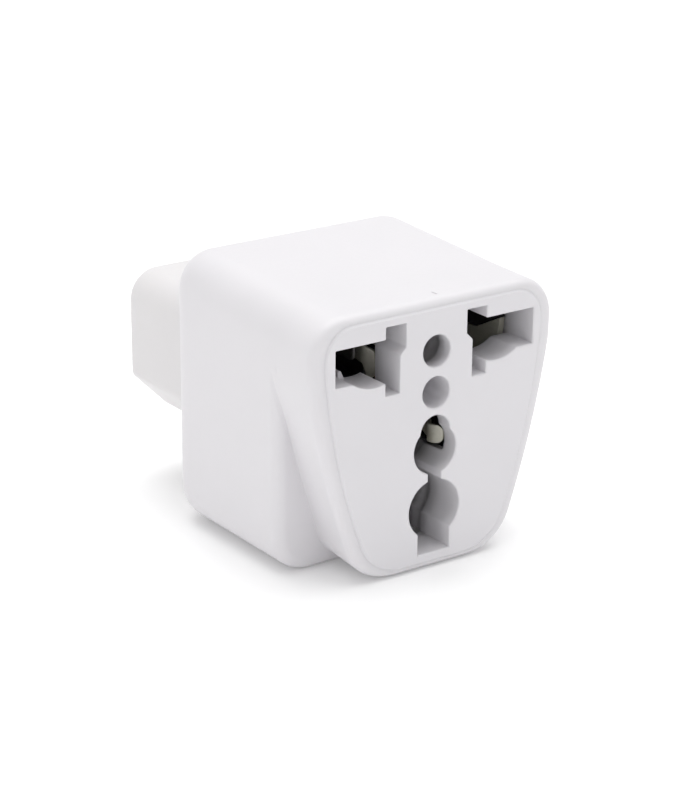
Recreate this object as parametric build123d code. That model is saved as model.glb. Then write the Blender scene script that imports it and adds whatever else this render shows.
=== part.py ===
"""Travel adapter: a universal socket on the front, a three-blade appliance plug on the back.

Frame: +X to the right when facing the socket, +Y from the socket to the plug, +Z up.
The origin is under the middle of the adapter, on the surface it stands on.
Depths are measured from the socket face towards the plug, heights from the pin line,
which joins the middles of the two pole slots. All sizes are in millimetres.
"""
from build123d import *
import math
import os

os.makedirs("parts", exist_ok=True)

# ---------------------------------------------------------------- overall sizes
overall_length = 48.3          # socket face to the end of the plug shroud

# ---------------------------------------------------------------- housing
box_half_width = 17.8
box_front_depth = 8.0          # shoulder where the tapered front ends
box_back_depth = 32.6
top_height_front = 5.98        # top surface at the rim, above the pin line
top_slope = 0.047              # rise of the top surface for each millimetre of depth
box_edge_radius = 5.1          # long edges
box_back_radius = 4.2
shoulder_radius = 1.2
housing_wall = 1.8
rim_depth = 0.25               # the rim lies this much behind the socket face
rim_fillet = 0.85
rim_side_margin = 3.3          # tapered front at the rim, outside the flat-pin slots
rim_top_radius = 4.9
rim_straight = 1.5             # upright part of the side under the top corner
rim_turn = 8.3                 # degrees that the side then turns inwards on its short arc
rim_lower_radius = 104.0       # long arc below it
rim_bottom_radius = 6.8
shoulder_straight = 3.4        # the same, where the front meets the box
shoulder_turn = 13.0
shoulder_lower_radius = 168.0
shoulder_bottom_radius = 5.2
shoulder_rise = 0.6            # height of the front's underside there
side_short_radius = 16.0       # short arc of the sides
front_overlap = 2.0            # how far the tapered front runs on inside the box

# ---------------------------------------------------------------- face plate
plate_thickness = 2.3
plate_side_margin = 1.9        # rim outside the plate, at the sides
plate_top_margin = 1.01        # rim above the plate
plate_bottom_margin = 0.9      # rim below the plate
plate_top_radius = 4.0
plate_straight = 0.3
plate_turn = 5.0
plate_lower_radius = 84.0
plate_bottom_radius = 6.6
plate_fillet = 0.3
plate_gap = 0.08               # between the plate's edge and the housing
plate_ledge = 0.6              # ledge that the plate seats on
sleeve_wall = 0.7
hook_leg = 1.2
hook_width = 4.0
hook_height = -16.0            # middle of the hook, from the pin line
hook_catch = 0.8
hook_gap = 0.15
hook_lip = 1.2
hook_land = 0.4                # blunt outer edge of the hook's lip
hook_root = 0.5                # how far the hook's leg runs into the plate

# ---------------------------------------------------------------- socket holes
slot_outer = 14.75             # outer end of the flat-pin slot
slot_inner = 7.53              # outer side of the blade slot
slot_top = 2.3
slot_bottom = -2.34
blade_slot_inner = 5.42
blade_slot_inner_top = 4.54
blade_slot_top = 3.87
blade_slot_bottom = -4.76
blade_slot_step = 0.88         # the inner side slants between this height and the pin line
round_pin_x = 9.1              # round-pin trough under the flat-pin slot
round_pin_height = 2.0
round_pin_radius = 5.35
pole_sleeve_depth = 5.2
fin_inner = 10.45              # stop fin at the far end of the line side's trough: its foot
fin_outer = 11.5
fin_crest = 11.1               # inner end of the fin's top
fin_top = -2.05
fin_length = 1.0
sleeve_step = 0.5              # the earth and centre sleeves widen by this much behind
step_wall = 0.5
centre_sleeve_depth = 7.0
earth_step_margin = 0.2        # the wide earth sleeve ends this far before the shoulder
centre_hole_radius = 2.02
centre_hole_height = -0.47
blind_hole_height = -5.72
blind_hole_depth = 6.0
blind_hole_floor = 0.8
upper_earth_height = -10.87
upper_earth_radius = 2.2
middle_earth_height = -13.1
middle_earth_radius = 3.15
neck_half_width = 1.0
lower_earth_height = -20.82
lower_earth_radius = 3.8
earth_slot_half_width = 2.4
earth_slot_bottom = -26.5
earth_sleeve_depth = 6.0
earth_trough_top = -14.6       # the deep trough lies below this height
earth_floor_margin = 2.2       # from the bottom of the earth slot to the underside
flat_blade_x = 6.35            # half the spacing of the flat blades that the slots take

# ---------------------------------------------------------------- plug
plug_width = 28.5
plug_top = -0.25
plug_bottom = -19.75
plug_top_radius = 4.0
plug_chamfer = 5.2
plug_corner_radius = 1.2
plug_wall = 2.0
plug_floor_step = 1.0          # the cavity's bottom lies this far behind the box
plug_window_gap = 0.1
plug_end_fillet = 0.8
plug_flange = 2.6
base_gap = 0.2                 # between the inner pieces and the housing's walls
blade_spacing = 14.0           # line to neutral
blade_pole_height = -8.0
blade_earth_height = -12.0
blade_width = 2.0
blade_height = 4.0
blade_tip_setback = 1.5
blade_tip_chamfer = 0.6
blade_fit = 0.05
collar_margin = 0.6            # the blade's collar stands out this much all round
collar_length = 0.8
retainer_thickness = 1.6

# ---------------------------------------------------------------- terminals and leaves
strip = 0.8                    # terminal sheet thickness
terminal_back_depth = 21.0     # back face of the terminals' upright plates
terminal_inner = 3.85
terminal_top = 2.6
terminal_bottom = -4.4
cheek_front_depth = 6.2        # outer cheek beside the pin, bent to the front's inner wall
cheek_crest = -0.7             # its top edge slopes down from here ...
cheek_slope_end = 10.6         # ... to this depth, and runs on level
cheek_top = -3.0
cheek_bottom = -5.6
cheek_gap = 0.25
side_wall_top = 4.0            # insulating side wall above the cheek
side_wall_gap = 0.15
tongue_width = 3.0
tongue_margin = 0.6
tab_width = 0.8
tab_height = 2.6
earth_plate_half_width = 2.4
earth_plate_top = 2.4
earth_plate_margin = 0.3       # the plate ends this far above the earth slot's bottom
clip_gap = 0.3                 # from the centre sleeve to the round clip behind it
clip_wall = 0.4
clip_slit = 1.0
leaf = 0.45                    # leaf sheet thickness
foot_margin = 0.8              # from the curled feet's middle to the terminal plates
curl_radius = 0.6
curl_gap = 0.05
seat_half_width = 1.1
mouth_half_width = 0.55
inner_leaf_reach = 1.35        # feet of the pole leaves, each side of a flat blade's middle
middle_leaf_reach = 1.15
upper_leaf_x = 2.55
lower_leaf_x = 2.2
inner_tip_gap = 0.8            # leaf tips behind the sleeves, the plate and the shoulder
middle_tip_gap = 1.0
upper_tip_gap = 0.45
lower_tip_gap = 0.1

# ---------------------------------------------------------------- carrier and fasteners
carrier_wall = 2.0
carrier_rib = 0.8
pole_rib_x = 2.9               # inner side of the rib between pole and earth
pole_shelf_height = -6.9       # underside of the shelf below the pole chambers
earth_rib_x = 6.0
shelf_gap = 0.2                # the shelf and ribs stop this far before the terminals
boss_margin = 3.1              # from the space inside the box to the screws' middle
boss_height = -14.0
boss_radius = 2.4
screw_radius = 1.15
screw_clearance = 0.2
screw_pilot_gap = 0.02
screw_head_radius = 2.1
screw_head_height = 1.3
screw_recess = 0.5
screw_cover = 0.9              # plastic round the screw tips and in front of the cavity
cross_length = 2.2             # cross recess in the screw heads
cross_width = 0.5
cross_depth = 0.7
earth_rivet_height = -16.8
rivet_radius = 0.9
rivet_gap = 0.05
rivet_head_radius = 1.5
rivet_head = 0.35

past = 1.0                     # how far a cut runs past the solid that it cuts
touch = 0.01                   # tolerance for picking out edges and rows

front_y = -overall_length / 2
floor_height = earth_slot_bottom - earth_floor_margin
pin_line_height = -floor_height
rim_half_width = slot_outer + rim_side_margin
plate_half_width = rim_half_width - plate_side_margin
plate_top = top_height_front - plate_top_margin
box_inner_half = box_half_width - housing_wall
box_inner_back = box_back_depth - housing_wall
plug_floor_depth = box_back_depth + plug_floor_step
part_half = box_inner_half - base_gap
cheek_inset = max(plate_ledge + cheek_gap, plate_half_width - part_half)
cheek_outer = plate_half_width - cheek_inset
part_bottom = floor_height + housing_wall + base_gap
carrier_back = terminal_back_depth + carrier_wall
flange_front = box_inner_back - plug_flange
retainer_front = flange_front - retainer_thickness
terminal_front = terminal_back_depth - strip
pivot_depth = terminal_front - foot_margin
inner_leaf_x = flat_blade_x - inner_leaf_reach
middle_leaf_x = flat_blade_x + middle_leaf_reach
pole_rivet_x = (middle_leaf_x + seat_half_width + cheek_outer - strip) / 2
earth_plate_bottom = earth_slot_bottom + earth_plate_margin
boss_x = min(part_half - boss_margin, plug_width / 2 - screw_cover - screw_radius)
screw_end = plug_floor_depth - screw_cover
rib_front_depth = box_front_depth + housing_wall + base_gap
side_plane = Plane(origin=(0, front_y, pin_line_height), x_dir=(0, 1, 0), z_dir=(1, 0, 0))


# ---------------------------------------------------------------- helpers
def top_height(depth):
    """Height of the sloping top surface at a depth."""
    return top_height_front + top_slope * (depth - rim_depth)


def upright(depth):
    """Plane across the adapter at a depth; its own x is X and its own y is the height."""
    return Plane(origin=(0, front_y + depth, pin_line_height), x_dir=(1, 0, 0), z_dir=(0, -1, 0))


def level(height):
    """Level plane at a height; its own x is X and its own y is the depth."""
    return Plane(origin=(0, front_y, pin_line_height + height), x_dir=(1, 0, 0), z_dir=(0, 0, 1))


def run(sketch, start, end):
    """Carry an upright sketch from one depth to another."""
    return extrude(upright(start) * sketch, amount=end - start, dir=(0, 1, 0))


def rise(sketch, low, high):
    """Carry a level sketch from one height to another."""
    return extrude(level(low) * sketch, amount=high - low, dir=(0, 0, 1))


def span(x_low, x_high, y_low, y_high):
    """Rectangle between two x values and two y values."""
    middle = ((x_low + x_high) / 2, (y_low + y_high) / 2)
    return Pos(*middle) * Rectangle(abs(x_high - x_low), abs(y_high - y_low))


def disc(x, y, radius):
    """Circle about a point."""
    return Pos(x, y) * Circle(radius)


def arc(centre, radius, start, end):
    """Points at the start, middle and end of an arc, angles below the x axis in degrees."""
    angles = [math.radians(a) for a in (start, (start + end) / 2, end)]
    return [(centre[0] + radius * math.cos(a), centre[1] - radius * math.sin(a)) for a in angles]


def tapered(half_width, top, bottom, top_radius, straight, turn, lower_radius, bottom_radius,
            short_radius=side_short_radius):
    """Outline, widest under its top corners, that narrows downwards on two tangent arcs."""
    turn_angle = math.radians(turn)
    drop = top - bottom - top_radius - straight - bottom_radius
    lean = math.degrees(math.asin((drop + (lower_radius - short_radius) * math.sin(turn_angle))
                                  / (lower_radius - bottom_radius)))
    corner = arc((half_width - top_radius, top - top_radius), top_radius, -90, 0)
    bend = top - top_radius - straight
    upper = arc((half_width - short_radius, bend), short_radius, 0, turn)
    reach = lower_radius - short_radius
    lower = arc((half_width - short_radius - reach * math.cos(turn_angle),
                 bend + reach * math.sin(turn_angle)), lower_radius, turn, lean)
    foot = arc((lower[2][0] - bottom_radius * math.cos(math.radians(lean)),
                bottom + bottom_radius), bottom_radius, lean, 90)
    edges = []
    for side in (1, -1):
        edges += [ThreePointArc(*[(side * x, y) for x, y in piece])
                  for piece in (corner, upper, lower, foot)]
        edges.append(Line((side * half_width, top - top_radius), (side * half_width, bend)))
    edges.append(Line((-corner[0][0], top), (corner[0][0], top)))
    edges.append(Line((-foot[2][0], bottom), (foot[2][0], bottom)))
    return make_face(edges)


def rim_outline():
    """Outer outline of the tapered front at its rim."""
    return tapered(rim_half_width, top_height(rim_depth), floor_height, rim_top_radius,
                   rim_straight, rim_turn, rim_lower_radius, rim_bottom_radius)


def shoulder_outline():
    """Outer outline of the tapered front where it meets the box."""
    return tapered(box_half_width, top_height(box_front_depth), floor_height + shoulder_rise,
                   box_edge_radius, shoulder_straight, shoulder_turn, shoulder_lower_radius,
                   shoulder_bottom_radius)


def plate_outline(inset):
    """Outline of the face plate, or one that lies inset inside it."""
    return tapered(plate_half_width - inset, plate_top - inset,
                   floor_height + plate_bottom_margin + inset, plate_top_radius - inset,
                   plate_straight, plate_turn, plate_lower_radius - inset,
                   plate_bottom_radius - inset, side_short_radius - inset)


def plug_outline(inset):
    """Appliance-plug outline, round at the top and chamfered at the two earth-side corners."""
    half = plug_width / 2 - inset
    top = plug_top - inset
    bottom = plug_bottom + inset
    chamfer = plug_chamfer - inset * (2 - math.sqrt(2))
    points = [(-half, top), (half, top), (half, bottom + chamfer), (half - chamfer, bottom),
              (-half + chamfer, bottom), (-half, bottom + chamfer)]
    outline = make_face(Polyline(*points, close=True).edges())
    upper = outline.vertices().group_by(Axis.Y)[-1]
    outline = fillet(upper, plug_top_radius - inset)
    lower = outline.vertices().filter_by(lambda v: v.Y < bottom + chamfer + touch)
    return fillet(lower, plug_corner_radius)


def pole_hole(side, grow):
    """Slot shape of one pole: flat-pin slot, stepped blade slot and round-pin trough."""
    slot = span(side * (blade_slot_inner - grow), side * (slot_outer + grow), slot_bottom - grow,
                slot_top + grow)
    blade_low = span(side * (blade_slot_inner - grow), side * (slot_inner + grow),
                     blade_slot_bottom - grow, 0)
    corners = [(blade_slot_inner - grow, 0), (blade_slot_inner_top - grow, blade_slot_step),
               (blade_slot_inner_top - grow, blade_slot_top + grow),
               (slot_inner + grow, blade_slot_top + grow), (slot_inner + grow, 0)]
    blade_high = make_face(Polyline(*[(side * x, y) for x, y in corners], close=True).edges())
    trough = disc(side * round_pin_x, round_pin_height, round_pin_radius + grow)
    trough &= span(side * slot_inner, side * slot_outer, slot_bottom - round_pin_radius, 0)
    return slot + blade_low + blade_high + trough


def earth_hole(grow):
    """Lower earth opening: round pin over an upright slot, with the neck above them."""
    circle = disc(0, lower_earth_height, lower_earth_radius + grow)
    slot = span(-earth_slot_half_width - grow, earth_slot_half_width + grow,
                earth_slot_bottom - grow, lower_earth_height)
    neck = span(-neck_half_width - grow, neck_half_width + grow, lower_earth_height,
                middle_earth_height)
    return circle + slot + neck


def middle_hole(grow):
    """Upper earth opening: a small and a large circle that run into each other."""
    return (disc(0, upper_earth_height, upper_earth_radius + grow)
            + disc(0, middle_earth_height, middle_earth_radius + grow))


def strip_along(points, thickness):
    """Sheet-metal strip seen from above: a smooth line through the points, given a thickness."""
    return trace(Spline(*points), line_width=thickness)


def inner_section(depth, gap):
    """Cross-section of the space inside the box, less a gap, under the sloping top."""
    top = top_height(depth) - housing_wall - gap
    bottom = floor_height + housing_wall + gap
    half = box_inner_half - gap
    corner = box_edge_radius - housing_wall
    return Pos(0, (top + bottom) / 2) * RectangleRounded(2 * half, top - bottom, corner)


# ---------------------------------------------------------------- housing
def box_section(depth):
    """Outer cross-section of the box at a depth."""
    height = top_height(depth) - floor_height
    return Pos(0, floor_height + height / 2) * RectangleRounded(2 * box_half_width, height,
                                                                box_edge_radius)


def make_box():
    """Box with a sloping top and round long edges, its two ends still sharp."""
    return loft([upright(d) * box_section(d) for d in (box_front_depth, box_back_depth)],
                ruled=True)


def make_housing():
    """One-piece shell: tapered front, box with a sloping top, and a window for the plug."""
    front_end = box_front_depth + front_overlap
    nose = loft([upright(rim_depth) * rim_outline(),
                 upright(box_front_depth) * shoulder_outline()], ruled=True)
    nose = fillet(nose.faces().sort_by(Axis.Y)[0].outer_wire().edges(), rim_fillet)
    sharp_box = make_box()
    bend = top_height(box_front_depth) - box_edge_radius - shoulder_straight
    upper_part = span(-box_half_width - past, box_half_width + past, bend,
                      top_height(front_end) + past)
    tail = run(shoulder_outline() + upper_part, box_front_depth, front_end) & sharp_box
    box = fillet(sharp_box.faces().sort_by(Axis.Y)[-1].outer_wire().edges(), box_back_radius)
    box = fillet(box.faces().sort_by(Axis.Y)[0].outer_wire().edges(), shoulder_radius)
    shell = nose + tail + box
    mouth = run(plate_outline(-plate_gap), -past, plate_thickness)
    throat = run(plate_outline(plate_ledge), plate_thickness, front_end + housing_wall)
    room = loft([upright(d) * inner_section(d, 0)
                 for d in (box_front_depth + housing_wall, box_inner_back)], ruled=True)
    window = run(plug_outline(-plug_window_gap), box_inner_back - past, box_back_depth + past)
    return shell - mouth - throat - room - window


# ---------------------------------------------------------------- face plate
def make_hook(side):
    """Snap hook whose lip catches behind the housing's inner shoulder."""
    shoulder = box_front_depth + housing_wall
    catch = shoulder + hook_gap
    tip = catch + hook_lip
    leg = span(-hook_leg, 0, plate_thickness - hook_root, tip)
    lip = make_face(Polyline((0, catch), (hook_catch, catch), (hook_catch, catch + hook_land),
                             (0, tip), close=True).edges())
    hook = extrude(leg + lip, amount=hook_width / 2, both=True)
    upper, lower = [throat_half_width(hook_height + sign * hook_width / 2) for sign in (1, -1)]
    lean = math.degrees(math.atan2(upper - lower, hook_width))
    hook = Pos((upper + lower) / 2 - hook_gap, 0, 0) * (Rot(0, lean, 0) * hook)
    if side < 0:
        hook = mirror(hook, about=Plane.YZ)
    return Pos(0, front_y, pin_line_height + hook_height) * hook


def throat_half_width(height):
    """Half width of the throat behind the plate's ledge, at a height."""
    row = plate_outline(plate_ledge) & span(0, box_half_width, height - touch, height + touch)
    return row.bounding_box().max.X


def make_face_plate():
    """Socket face with its slots, the sleeves behind them and two snap hooks."""
    plate = run(plate_outline(0), 0, plate_thickness)
    plate = fillet(plate.faces().sort_by(Axis.Y)[0].outer_wire().edges(), plate_fillet)
    room = plate_outline(plate_ledge + plate_gap)
    trough = span(-box_half_width, box_half_width, floor_height, earth_trough_top)
    blind = disc(0, blind_hole_height, centre_hole_radius + sleeve_wall)
    sleeves = [(pole_hole(-1, sleeve_wall) & room, pole_sleeve_depth),
               (pole_hole(1, sleeve_wall) & room, pole_sleeve_depth),
               ((earth_hole(sleeve_wall) + middle_hole(sleeve_wall)) & trough & room,
                earth_sleeve_depth),
               (blind, blind_hole_depth + blind_hole_floor)]
    for section, depth in sleeves:
        plate += run(section, plate_thickness / 2, depth)
    wide_end = box_front_depth + housing_wall - earth_step_margin
    wide = (earth_hole(sleeve_step) + middle_hole(sleeve_step)) & trough
    wide_sleeve = earth_hole(sleeve_step + step_wall) + middle_hole(sleeve_step + step_wall)
    plate += run(wide_sleeve & trough & room, earth_sleeve_depth - step_wall, wide_end)
    plate -= run(wide & plate_outline(plate_ledge + plate_gap + step_wall), earth_sleeve_depth,
                 wide_end + past)
    centre = disc(0, centre_hole_height, centre_hole_radius + sleeve_step)
    plate += run(disc(0, centre_hole_height, centre_hole_radius + sleeve_step + step_wall)
                 - centre, plate_thickness / 2, centre_sleeve_depth)
    holes = [pole_hole(-1, 0), pole_hole(1, 0), earth_hole(0) + middle_hole(0)]
    for section in holes:
        plate -= run(section, -past, earth_sleeve_depth + past)
    plate -= run(disc(0, centre_hole_height, centre_hole_radius), -past, plate_thickness + past)
    plate -= run(centre, plate_thickness, centre_sleeve_depth + past)
    plate -= run(disc(0, blind_hole_height, centre_hole_radius), -past, blind_hole_depth)
    fin_foot = round_pin_height - round_pin_radius - sleeve_wall / 2
    corners = [(fin_inner, fin_foot), (fin_crest, fin_top), (fin_outer, fin_top),
               (fin_outer, fin_foot)]
    fin = make_face(Polyline(*[(-x, z) for x, z in corners], close=True).edges())
    plate += run(fin & pole_hole(-1, sleeve_wall / 2), pole_sleeve_depth - fin_length,
                 pole_sleeve_depth)
    return plate + make_hook(-1) + make_hook(1)


# ---------------------------------------------------------------- plug
def blade_places():
    """Name, x and height of each blade."""
    half = blade_spacing / 2
    return (("line", -half, blade_pole_height), ("neutral", half, blade_pole_height),
            ("earth", 0, blade_earth_height))


def screw_places():
    """The x and height of each carrier screw."""
    return [(side * boss_x, boss_height) for side in (-1, 1)]


def make_plug_base():
    """Off-white plug moulding: inner flange, solid floor and the shroud round the blades."""
    base = run(inner_section(flange_front, base_gap), flange_front, box_inner_back)
    shroud = run(plug_outline(0), box_inner_back, overall_length)
    shroud = fillet(shroud.faces().sort_by(Axis.Y)[-1].outer_wire().edges(), plug_end_fillet)
    base += shroud
    base -= run(plug_outline(plug_wall), plug_floor_depth, overall_length + past)
    for _, x, height in blade_places():
        base -= run(Pos(x, height) * Rectangle(blade_width + 2 * blade_fit,
                                               blade_height + 2 * blade_fit),
                    flange_front - past, overall_length)
    for x, height in screw_places():
        base -= run(disc(x, height, screw_radius + screw_pilot_gap), flange_front - past,
                    screw_end)
    return base


def make_blade(x, height):
    """Solid blade with a trapped collar and a tab staked through its terminal."""
    section = Pos(x, height) * Rectangle(blade_width, blade_height)
    blade = run(section, terminal_back_depth, overall_length - blade_tip_setback)
    tip = blade.faces().sort_by(Axis.Y)[-1]
    blade = chamfer(tip.edges(), blade_tip_chamfer)
    collar = Pos(x, height) * Rectangle(blade_width + 2 * collar_margin,
                                        blade_height + 2 * collar_margin)
    blade += run(collar, flange_front - collar_length, flange_front)
    tab = Pos(x, height) * Rectangle(tab_width, tab_height)
    return blade + run(tab, terminal_front, terminal_back_depth)


def make_retainer():
    """Plate that traps the blades' collars against the plug moulding."""
    plate = run(inner_section(retainer_front, base_gap), retainer_front, flange_front)
    for _, x, height in blade_places():
        plate -= run(Pos(x, height) * Rectangle(blade_width + 2 * blade_fit,
                                                blade_height + 2 * blade_fit),
                     retainer_front - past, flange_front + past)
        pocket = Rectangle(blade_width + 2 * (collar_margin + blade_fit),
                           blade_height + 2 * (collar_margin + blade_fit))
        plate -= run(Pos(x, height) * pocket, flange_front - collar_length, flange_front + past)
    for x, height in screw_places():
        plate -= run(disc(x, height, screw_radius + screw_clearance), retainer_front - past,
                     flange_front + past)
    return plate


# ---------------------------------------------------------------- terminals
def seat_cut(x):
    """Round pocket and mouth for a leaf's curled foot, seen from above."""
    pocket = disc(x, pivot_depth, curl_radius + curl_gap)
    mouth = span(x - mouth_half_width, x + mouth_half_width, pivot_depth - 2 * seat_half_width,
                 pivot_depth)
    return pocket + mouth


def side_sheet(side, corners):
    """Sheet bent to the front's inner wall, with an outline given by depths and heights."""
    bent = plate_outline(cheek_inset) - plate_outline(cheek_inset + strip)
    bent = run(bent & span(0, side * rim_half_width, floor_height, top_height_front),
               cheek_front_depth, terminal_back_depth)
    outline = side_plane * make_face(Polyline(*corners, close=True).edges())
    return bent & extrude(outline, amount=rim_half_width, both=True)


def seat_block(x):
    """Block round a curled foot, seen from above."""
    return span(x - seat_half_width, x + seat_half_width, pivot_depth - curl_radius - curl_gap,
                terminal_front)


def rivet_places():
    """The x and height of each terminal rivet."""
    return [(-pole_rivet_x, 0), (pole_rivet_x, 0), (0, earth_rivet_height)]


def drill_rivets(piece, start, end):
    """Rivet holes through a piece between two depths."""
    for x, height in rivet_places():
        piece -= run(disc(x, height, rivet_radius + rivet_gap), start, end)
    return piece


def make_pole_terminal(side):
    """Brass terminal of one pole: upright plate, outer cheek, leaf seats and blade tongue."""
    plate = span(side * terminal_inner, side * part_half, terminal_bottom, terminal_top)
    tongue_x = blade_spacing / 2
    tongue = span(side * (tongue_x - tongue_width / 2), side * (tongue_x + tongue_width / 2),
                  blade_pole_height - tab_height / 2 - tongue_margin, 0)
    terminal = run(plate + tongue, terminal_front, terminal_back_depth)
    cheek = [(cheek_front_depth, cheek_bottom), (cheek_front_depth, cheek_crest),
             (cheek_slope_end, cheek_top), (terminal_back_depth, cheek_top),
             (terminal_back_depth, cheek_bottom)]
    terminal += side_sheet(side, cheek)
    for x, (low, high) in ((inner_leaf_x, inner_arm), (middle_leaf_x, middle_arm)):
        terminal += rise(seat_block(side * x) - seat_cut(side * x), low, high)
    tab = Pos(side * tongue_x, blade_pole_height) * Rectangle(tab_width, tab_height)
    terminal -= run(tab, terminal_front - past, terminal_back_depth + past)
    return drill_rivets(terminal, terminal_front - past, terminal_back_depth + past)


def make_earth_terminal():
    """Brass earth terminal: long upright plate, four leaf seats and the centre hole's clip."""
    plate = span(-earth_plate_half_width, earth_plate_half_width, earth_plate_bottom,
                 earth_plate_top)
    terminal = run(plate, terminal_front, terminal_back_depth)
    for side in (-1, 1):
        for x, (low, high) in ((upper_leaf_x, at_height(middle_earth_height, upper_arm)),
                               (lower_leaf_x, at_height(lower_earth_height, lower_arm))):
            terminal += rise(seat_block(side * x) - seat_cut(side * x), low, high)
    ring = disc(0, centre_hole_height, centre_hole_radius + clip_wall)
    ring -= disc(0, centre_hole_height, centre_hole_radius)
    ring -= span(-clip_slit / 2, clip_slit / 2, centre_hole_height, box_half_width)
    terminal += run(ring, centre_sleeve_depth + clip_gap, terminal_front)
    tab = Pos(0, blade_earth_height) * Rectangle(tab_width, tab_height)
    terminal -= run(tab, terminal_front - past, terminal_back_depth + past)
    return drill_rivets(terminal, terminal_front - past, terminal_back_depth + past)


# ---------------------------------------------------------------- leaves
# Each leaf is a bent strip seen from above. Its arm and its wider pad span two height ranges,
# measured from the height of the hole it serves. The points of its line run from the tip to
# the heel: x outwards from the foot, depth from the tip, and for the heel from the foot.
inner_arm = (-3.1, -0.6)
inner_pad = (-5.0, -0.9)
middle_arm = (-1.2, 1.2)
middle_pad = (-2.2, 2.2)
upper_arm = (-0.5, 1.2)
upper_pad = (-0.9, 1.6)
lower_arm = (-0.1, 1.6)
lower_pad = (-0.5, 2.0)
inner_line = ((-0.35, 0), (0.42, 1.6), (0.05, 4.2), (0, -4.9))
middle_line = ((0.25, 0), (-0.05, 2.0), (0.1, 4.3), (0, -4.9))
upper_line = ((0.9, 0), (-0.13, 1.7), (1.0, 3.7), (0.25, -6.4))
lower_line = ((0.9, 0), (-0.2, 1.8), (0.3, 4.3), (0.2, -2.6))
inner_tip = pole_sleeve_depth + inner_tip_gap
middle_tip = pole_sleeve_depth + middle_tip_gap
upper_tip = plate_thickness + upper_tip_gap
lower_tip = rib_front_depth + lower_tip_gap
short_pad = 1.4                # length of the inner leaves' pads
long_pad = 4.2
pad_corner = 0.9


def at_height(middle, heights):
    """Height range measured from a middle height, as heights from the pin line."""
    return (middle + heights[0], middle + heights[1])


def make_leaf(side, foot_x, tip, line, arm, pad, pad_length=long_pad):
    """Spring leaf: flared tip and contact crest, narrow arm, and a curled foot."""
    places = [(foot_x + x, tip + depth) for x, depth in line[:-1]]
    places += [(foot_x + line[-1][0], pivot_depth + line[-1][1]), (foot_x, pivot_depth)]
    points = [(side * x, depth) for x, depth in places]
    band = strip_along(points, leaf)
    curl = disc(side * foot_x, pivot_depth, curl_radius)
    strip_full = rise(band, *pad)
    pad_depth = tip + pad_length
    pad_shape = span(tip - past, pad_depth, *pad)
    pad_shape = fillet(pad_shape.vertices().group_by(Axis.X)[-1], pad_corner)
    side_view = pad_shape + span(tip, pivot_depth + past, *arm)
    window = extrude(side_plane * side_view, amount=box_half_width, both=True)
    return (strip_full & window) + rise(curl, *arm)


# ---------------------------------------------------------------- carrier and fasteners
def make_carrier():
    """Black carrier: back wall for the terminals, insulating ribs, shelf and screw bosses."""
    carrier = run(inner_section(terminal_back_depth, base_gap), terminal_back_depth, carrier_back)
    rib_end = terminal_back_depth
    shelf_end = terminal_front - shelf_gap
    rib_top = top_height(rib_front_depth) - housing_wall - base_gap
    for side in (-1, 1):
        rib = span(side * pole_rib_x, side * (pole_rib_x + carrier_rib), pole_shelf_height, rib_top)
        carrier += run(rib, rib_front_depth, rib_end)
        shelf = span(side * pole_rib_x, side * part_half, pole_shelf_height,
                     pole_shelf_height + carrier_rib)
        carrier += run(shelf, rib_front_depth, shelf_end)
        wall = span(side * earth_rib_x, side * (earth_rib_x + carrier_rib), part_bottom,
                    pole_shelf_height)
        carrier += run(wall, rib_front_depth, shelf_end)
        low = [(cheek_front_depth, cheek_crest + side_wall_gap),
               (cheek_slope_end, cheek_top + side_wall_gap),
               (shelf_end, cheek_top + side_wall_gap)]
        high = [(shelf_end, terminal_top + side_wall_gap),
                (terminal_back_depth, terminal_top + side_wall_gap),
                (terminal_back_depth, side_wall_top), (cheek_front_depth, side_wall_top)]
        carrier += side_sheet(side, low + high)
    for x, height in screw_places():
        carrier += run(disc(x, height, boss_radius), carrier_back, retainer_front)
    for _, x, height in blade_places():
        carrier -= run(Pos(x, height) * Rectangle(blade_width + 2 * blade_fit,
                                                  blade_height + 2 * blade_fit),
                       terminal_back_depth - past, carrier_back + past)
    for x, height in screw_places():
        carrier -= run(disc(x, height, screw_radius + screw_clearance), terminal_back_depth - past,
                       retainer_front + past)
        carrier -= run(disc(x, height, screw_head_radius + screw_clearance),
                       terminal_back_depth - past, terminal_back_depth + screw_recess)
    return drill_rivets(carrier, terminal_back_depth - past, carrier_back + past)


def make_screw(x, height):
    """Self-tapping carrier screw with a cross recess."""
    seat = terminal_back_depth + screw_recess
    screw = run(disc(x, height, screw_radius), seat, screw_end)
    screw += run(disc(x, height, screw_head_radius), seat - screw_head_height, seat)
    cross = Rectangle(cross_length, cross_width) + Rectangle(cross_width, cross_length)
    head = seat - screw_head_height
    return screw - run(Pos(x, height) * cross, head - past, head + cross_depth)


def make_rivet(x, height):
    """Rivet that holds a terminal on the carrier's back wall."""
    rivet = run(disc(x, height, rivet_radius), terminal_front, carrier_back)
    rivet += run(disc(x, height, rivet_head_radius), terminal_front - rivet_head, terminal_front)
    return rivet + run(disc(x, height, rivet_head_radius), carrier_back, carrier_back + rivet_head)


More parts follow.
